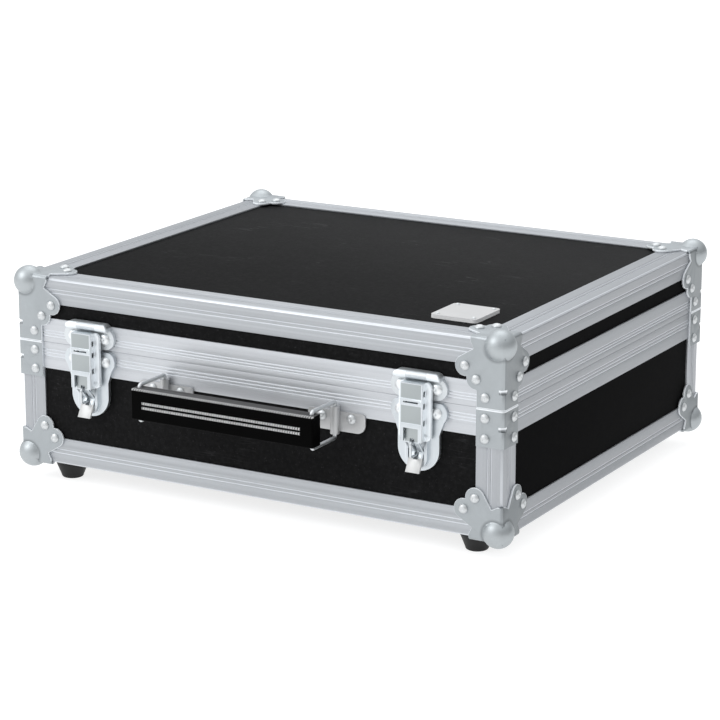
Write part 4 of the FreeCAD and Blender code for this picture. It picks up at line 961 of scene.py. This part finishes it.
@dataclass
class Assembly:
    """A group of pieces; CAD nodes in it get finishes and softened edges."""

    nodes: dict[str, bpy.types.Object]
    smooth_angle: float = 32.0

    def dress(self, name: str, finish: Finish, edge: float = 0.0, segments: int = 2,
              merged: bool = False) -> None:
        """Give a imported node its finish, smooth its curves and round its sharp edges.

        Args:
            name: The node.
            finish: Its finish.
            edge: Radius of its edges in metres, or 0 to leave them sharp.
            segments: Faces across a rounded edge.
            merged: Whether flat faces are merged first, so that the rounding of a mesh with
                short edges keeps its full width.
        """
        node = self.nodes[name]
        node.data.materials.clear()
        node.data.materials.append(finish.material())
        node.data.polygons.foreach_set("use_smooth", np.ones(len(node.data.polygons), bool))
        weld = node.modifiers.new("weld", "WELD")
        weld.merge_threshold = 2e-6
        if merged:
            flat = node.modifiers.new("flat_faces", "DECIMATE")
            flat.decimate_type, flat.angle_limit = "DISSOLVE", math.radians(0.5)
        if edge:
            bevel = node.modifiers.new("soft_edges", "BEVEL")
            bevel.width, bevel.segments = edge, segments
            bevel.limit_method, bevel.angle_limit = "ANGLE", math.radians(self.smooth_angle)
            bevel.harden_normals = True
            bevel.use_clamp_overlap = bevel.loop_slide = not merged
            bevel.miter_outer = "MITER_ARC"
        split = node.modifiers.new("crisp_edges", "EDGE_SPLIT")
        split.split_angle = math.radians(self.smooth_angle)
        LOG.info("dressed %s with %s", name, finish.name)

    def keep(self, piece: bpy.types.Object, body: str, slot: Slot, *replaced: str) -> None:
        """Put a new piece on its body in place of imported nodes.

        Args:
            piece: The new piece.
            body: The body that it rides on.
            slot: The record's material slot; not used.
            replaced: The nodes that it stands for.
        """
        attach(piece, body)
        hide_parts(*replaced)
        LOG.info("made %s on %s", piece.name, body)


@dataclass
class Shell(Assembly):
    """Panels, edge angles, closing rails and corner angles."""

    sides: dict[str, Axis] = field(default_factory=lambda: {
        "front": Axis.X, "rear": Axis.X, "left": Axis.Y, "right": Axis.Y})
    panel_edge: float = 0.3 * MM
    metal_edge: float = 0.22 * MM

    def build(self) -> None:
        """Dress every panel and extrusion."""
        self.dress("base_floor_panel", LAMINATE, self.panel_edge)
        self.dress("lid_top_panel", LAMINATE, self.panel_edge)
        for side, run in self.sides.items():
            for part in ("base", "lid"):
                self.dress(f"{part}_{side}_panel", LAMINATE, self.panel_edge)
                self.dress(f"{part}_closing_rail_{side}", CLOSING_RAILS[run], self.metal_edge)
            self.dress(f"bottom_angle_{side}", EXTRUSIONS[run], self.metal_edge)
            self.dress(f"lid_top_angle_{side}", EXTRUSIONS[run], self.metal_edge)
        for name in ("base_corner_angles", "lid_corner_angles"):
            self.dress(name, EXTRUSIONS[Axis.Z], self.metal_edge)


@dataclass
class Corners(Assembly):
    """Ball corners, braces, rivets and feet."""

    plate_edge: float = 0.6 * MM
    foot_edge: float = 0.4 * MM
    screw_edge: float = 0.2 * MM

    def build(self) -> None:
        """Dress the corner hardware."""
        for name in ("base_ball_corners", "lid_ball_corners"):
            self.dress(name, CORNER_STEEL, self.plate_edge, merged=True)
        self.dress("base_corner_braces", CORNER_STEEL, self.plate_edge)
        for name in ("base_rivets", "lid_rivets"):
            self.dress(name, RIVET_STEEL)
        self.dress("rubber_feet", FOOT_RUBBER, self.foot_edge)
        self.dress("foot_screws", WIRE_STEEL, self.screw_edge)


@dataclass
class Latches(Assembly):
    """Two toggle latches, their strikes, pins, staples and rivets."""

    edge: float = 0.45 * MM
    strike_edge: float = 1.1 * MM

    def build(self) -> None:
        """Dress the latches."""
        for side in ("left", "right"):
            for part in ("base", "lever", "claw"):
                self.dress(f"latch_{part}_{side}", LATCH_ZINC, self.edge, 3)
            self.dress(f"latch_claw_pin_{side}", LATCH_PINS)
        self.dress("latch_strikes", STRIKE_ZINC, self.strike_edge, 4)
        for name in ("latch_pivot_pins", "latch_staples"):
            self.dress(name, LATCH_PINS)
        for name in ("latch_base_rivets", "latch_strike_rivets"):
            self.dress(name, LATCH_RIVET_STEEL)


@dataclass
class Handle(Assembly):
    """Saddles, wire links and the grip."""

    edge: float = 0.3 * MM

    def build(self) -> None:
        """Dress the saddles, the wirework and the grip."""
        self.dress("handle_saddles", SADDLE_STEEL, self.edge, 3)
        for side in ("left", "right"):
            self.dress(f"handle_link_{side}", WIRE_STEEL)
        self.dress("handle_grip", GRIP_PLASTIC, self.edge, 3)


@dataclass
class Hinges(Assembly):
    """The two rear hinges."""

    edge: float = 0.25 * MM

    def build(self) -> None:
        """Dress leaves and pins."""
        for name in ("hinge_base_leaves", "hinge_lid_leaves"):
            self.dress(name, WIRE_STEEL, self.edge)
        self.dress("hinge_pins", WIRE_STEEL)


@dataclass
class LabelPlate(Assembly):
    """The bare plate on the lid."""

    def build(self) -> None:
        """Dress the plate and its rivets."""
        self.dress("label_plate", LABEL_METAL)
        self.dress("label_rivets", RIVET_STEEL)


@dataclass
class FoamLining(Assembly):
    """Foam on the floor, round the walls and under the lid."""

    edge: float = 2.2 * MM
    step: float = 7.0 * MM
    wall: float = 6.0 * MM
    wall_gap: float = 0.3 * MM
    dimple_pitch: float = 34.0 * MM
    dimple_depth: float = 5.5 * MM
    dimple_margin: float = 20.0 * MM
    dimple_share: float = 0.7
    swell: float = 0.5 * MM

    def block(self, name: str) -> tuple[np.ndarray, np.ndarray]:
        """The lowest and the highest corner of a node, as arrays."""
        low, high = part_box(name)
        return np.array(low), np.array(high)

    def build(self) -> None:
        """Make the three pads."""
        self.floor_pad()
        self.wall_pads()
        self.lid_pad()

    def floor_pad(self) -> None:
        """A flat pad whose top dips slightly towards its edges."""
        low, high = self.block("floor_foam")
        pad = rounded_block(low, high, self.edge, self.step)
        middle, half = (low + high) / 2, (high - low) / 2
        share = (pad.points[:, :2] - middle[:2]) / half[:2]
        crown = (1 - share[:, 0] ** 8) * (1 - share[:, 1] ** 8)
        top = pad.points[:, 2] > middle[2]
        pad.points[:, 2] -= np.where(top, self.swell * (1 - crown), 0.0)
        self.finish_pad(pad, "floor_foam_pad", "case_base", "floor_foam")

    def wall_pads(self) -> None:
        """Four upright pads with the wall node's outer size."""
        low, high = self.block("wall_foam")
        thick, gap = self.wall, self.wall_gap
        boxes = [((low[0], low[1]), (high[0], low[1] + thick)),
                 ((low[0], high[1] - thick), (high[0], high[1])),
                 ((low[0], low[1] + thick + gap), (low[0] + thick, high[1] - thick - gap)),
                 ((high[0] - thick, low[1] + thick + gap), (high[0], high[1] - thick - gap))]
        pads = [rounded_block(np.array([*first, low[2]]), np.array([*last, high[2]]),
                              self.edge, self.step) for first, last in boxes]
        self.finish_pad(Surface.joined(pads), "wall_foam_pads", "case_base", "wall_foam")

    def lid_pad(self) -> None:
        """A pad whose underside has rows of dimples.

        The underside rises by depth (1 - sin a sin b) / 2, with a and b the distances along
        x and y in turns of the pitch, and fades to flat at the pad's rim.
        """
        low, high = self.block("lid_foam")
        pad = rounded_block(low, high, self.edge, self.step / 2)
        middle, half = (low + high) / 2, (high - low) / 2
        offset = pad.points - middle
        turns = offset[:, :2] * (2 * math.pi / self.dimple_pitch)
        relief = (1 - np.sin(turns[:, 0]) * np.sin(turns[:, 1])) / 2 * self.dimple_depth
        rim = np.clip((half[:2] - np.abs(offset[:, :2])) / self.dimple_margin, 0, 1).min(axis=1)
        under = np.clip(-offset[:, 2] / half[2], 0, 1) > self.dimple_share
        pad.points[:, 2] += np.where(under, relief * rim, 0.0)
        self.finish_pad(pad, "lid_foam_pad", "lid", "lid_foam")

    def finish_pad(self, surface: Surface, name: str, body: str, node: str) -> None:
        """Args:
            surface: The pad's surface.
            name: The piece's name.
            body: The body that it rides on.
            node: The node that it stands for.
        """
        piece = surface.piece(name, LINING_FOAM)
        self.keep(piece, body, Slot.FOAM, node)


@dataclass(frozen=True)
class Softbox:
    """A square light: its name, place, side in metres and power in watts."""

    name: str
    place: tuple[float, float, float]
    side: float
    power: float


@dataclass
class Studio:
    """Floor, soft lights and the camera at the photograph's angle."""

    softboxes: tuple[Softbox, ...] = (Softbox("key_light", (-2.2, -2.6, 2.6), 2.0, 50.0),
                                      Softbox("top_light", (-0.6, 1.2, 3.0), 2.4, 22.0))
    lit_point: tuple[float, float, float] = (0.0, 0.0, 0.1)
    camera_at: tuple[float, float, float] = (1.1464, -2.00475, 0.7101)
    azimuth: float = 29.69
    elevation: float = 14.92
    lens: float = 137.36
    sensor: float = 36.0
    floor_half: float = 60.0
    floor_drop: float = 0.05 * MM
    horizon: float = 0.75
    zenith: float = 1.1
    shade: float = 0.9
    sky: Colour = (0.97, 0.985, 1.0)

    def build(self) -> None:
        """Make everything around the case."""
        self.floor()
        self.world()
        for softbox in self.softboxes:
            self.soft_light(softbox)
        self.camera()

    def floor(self) -> None:
        """A flat square sheet, a hair below z = 0."""
        span = np.linspace(-self.floor_half, self.floor_half, 3)
        along, across = np.meshgrid(span, span, indexing="ij")
        height = np.full_like(along, -self.floor_drop)
        sheet = Surface.grid(np.stack([along, across, height], axis=-1))
        sheet.piece("studio_floor", FLOOR)

    def world(self) -> None:
        """Even light that brightens from the horizon to the zenith and fades low towards +x.

        Strength is horizon + (zenith - horizon) z' times 1 - shade x' (1 - z'), where z' and
        x' rise from 0 to 1 with the direction's height and its reach towards +x.
        """
        world = bpy.data.worlds.new("studio")
        bpy.context.scene.world = world
        world.use_nodes = True
        nodes, links = world.node_tree.nodes, world.node_tree.links
        nodes.clear()
        parts = nodes.new("ShaderNodeSeparateXYZ")
        links.new(nodes.new("ShaderNodeTexCoord").outputs["Generated"], parts.inputs[0])
        ramps = []
        for output, start, end, first, last in ((2, 0.0, 0.8, self.horizon, self.zenith),
                                                (0, -0.1, 0.6, 0.0, 1.0),
                                                (2, 0.0, 0.8, -self.shade, 0.0)):
            ramp = nodes.new("ShaderNodeMapRange")
            links.new(parts.outputs[output], ramp.inputs["Value"])
            for name, number in (("From Min", start), ("From Max", end), ("To Min", first),
                                 ("To Max", last)):
                ramp.inputs[name].default_value = number
            ramps.append(ramp.outputs[0])
        shading, product = nodes.new("ShaderNodeMath"), nodes.new("ShaderNodeMath")
        shading.operation, product.operation = "MULTIPLY_ADD", "MULTIPLY"
        links.new(ramps[1], shading.inputs[0])
        links.new(ramps[2], shading.inputs[1])
        shading.inputs[2].default_value = 1.0
        links.new(ramps[0], product.inputs[0])
        links.new(shading.outputs[0], product.inputs[1])
        back = nodes.new("ShaderNodeBackground")
        back.inputs["Color"].default_value = (*self.sky, 1.0)
        links.new(product.outputs[0], back.inputs["Strength"])
        links.new(back.outputs[0], nodes.new("ShaderNodeOutputWorld").inputs[0])

    def soft_light(self, softbox: Softbox) -> None:
        """Hang a softbox so that it faces the case.

        Args:
            softbox: The softbox.
        """
        data = bpy.data.lights.new(softbox.name, "AREA")
        data.shape, data.size, data.energy = "SQUARE", softbox.side, softbox.power
        light = bpy.data.objects.new(softbox.name, data)
        bpy.context.scene.collection.objects.link(light)
        light.location = softbox.place
        aim = Vector(self.lit_point) - Vector(softbox.place)
        light.rotation_euler = aim.to_track_quat("-Z", "Y").to_euler()

    def camera(self) -> None:
        """The camera, with no shift and no depth of field."""
        data = bpy.data.cameras.new("camera")
        data.lens, data.sensor_width = self.lens, self.sensor
        camera = bpy.data.objects.new("camera", data)
        bpy.context.scene.collection.objects.link(camera)
        camera.location = self.camera_at
        camera.rotation_euler = (math.radians(90 - self.elevation), 0.0,
                                 math.radians(self.azimuth))
        bpy.context.scene.camera = camera
        bpy.context.scene.view_settings.view_transform = "Standard"


def main() -> None:
    """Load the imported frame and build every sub-assembly in order."""
    logging.basicConfig(level=logging.INFO, format="%(name)s: %(message)s")
    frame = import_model()
    nodes = frame["nodes"]
    for assembly in (Shell, Corners, Latches, Handle, Hinges, LabelPlate, FoamLining):
        assembly(nodes).build()
    Studio().build()


if __name__ == "__main__":
    main()
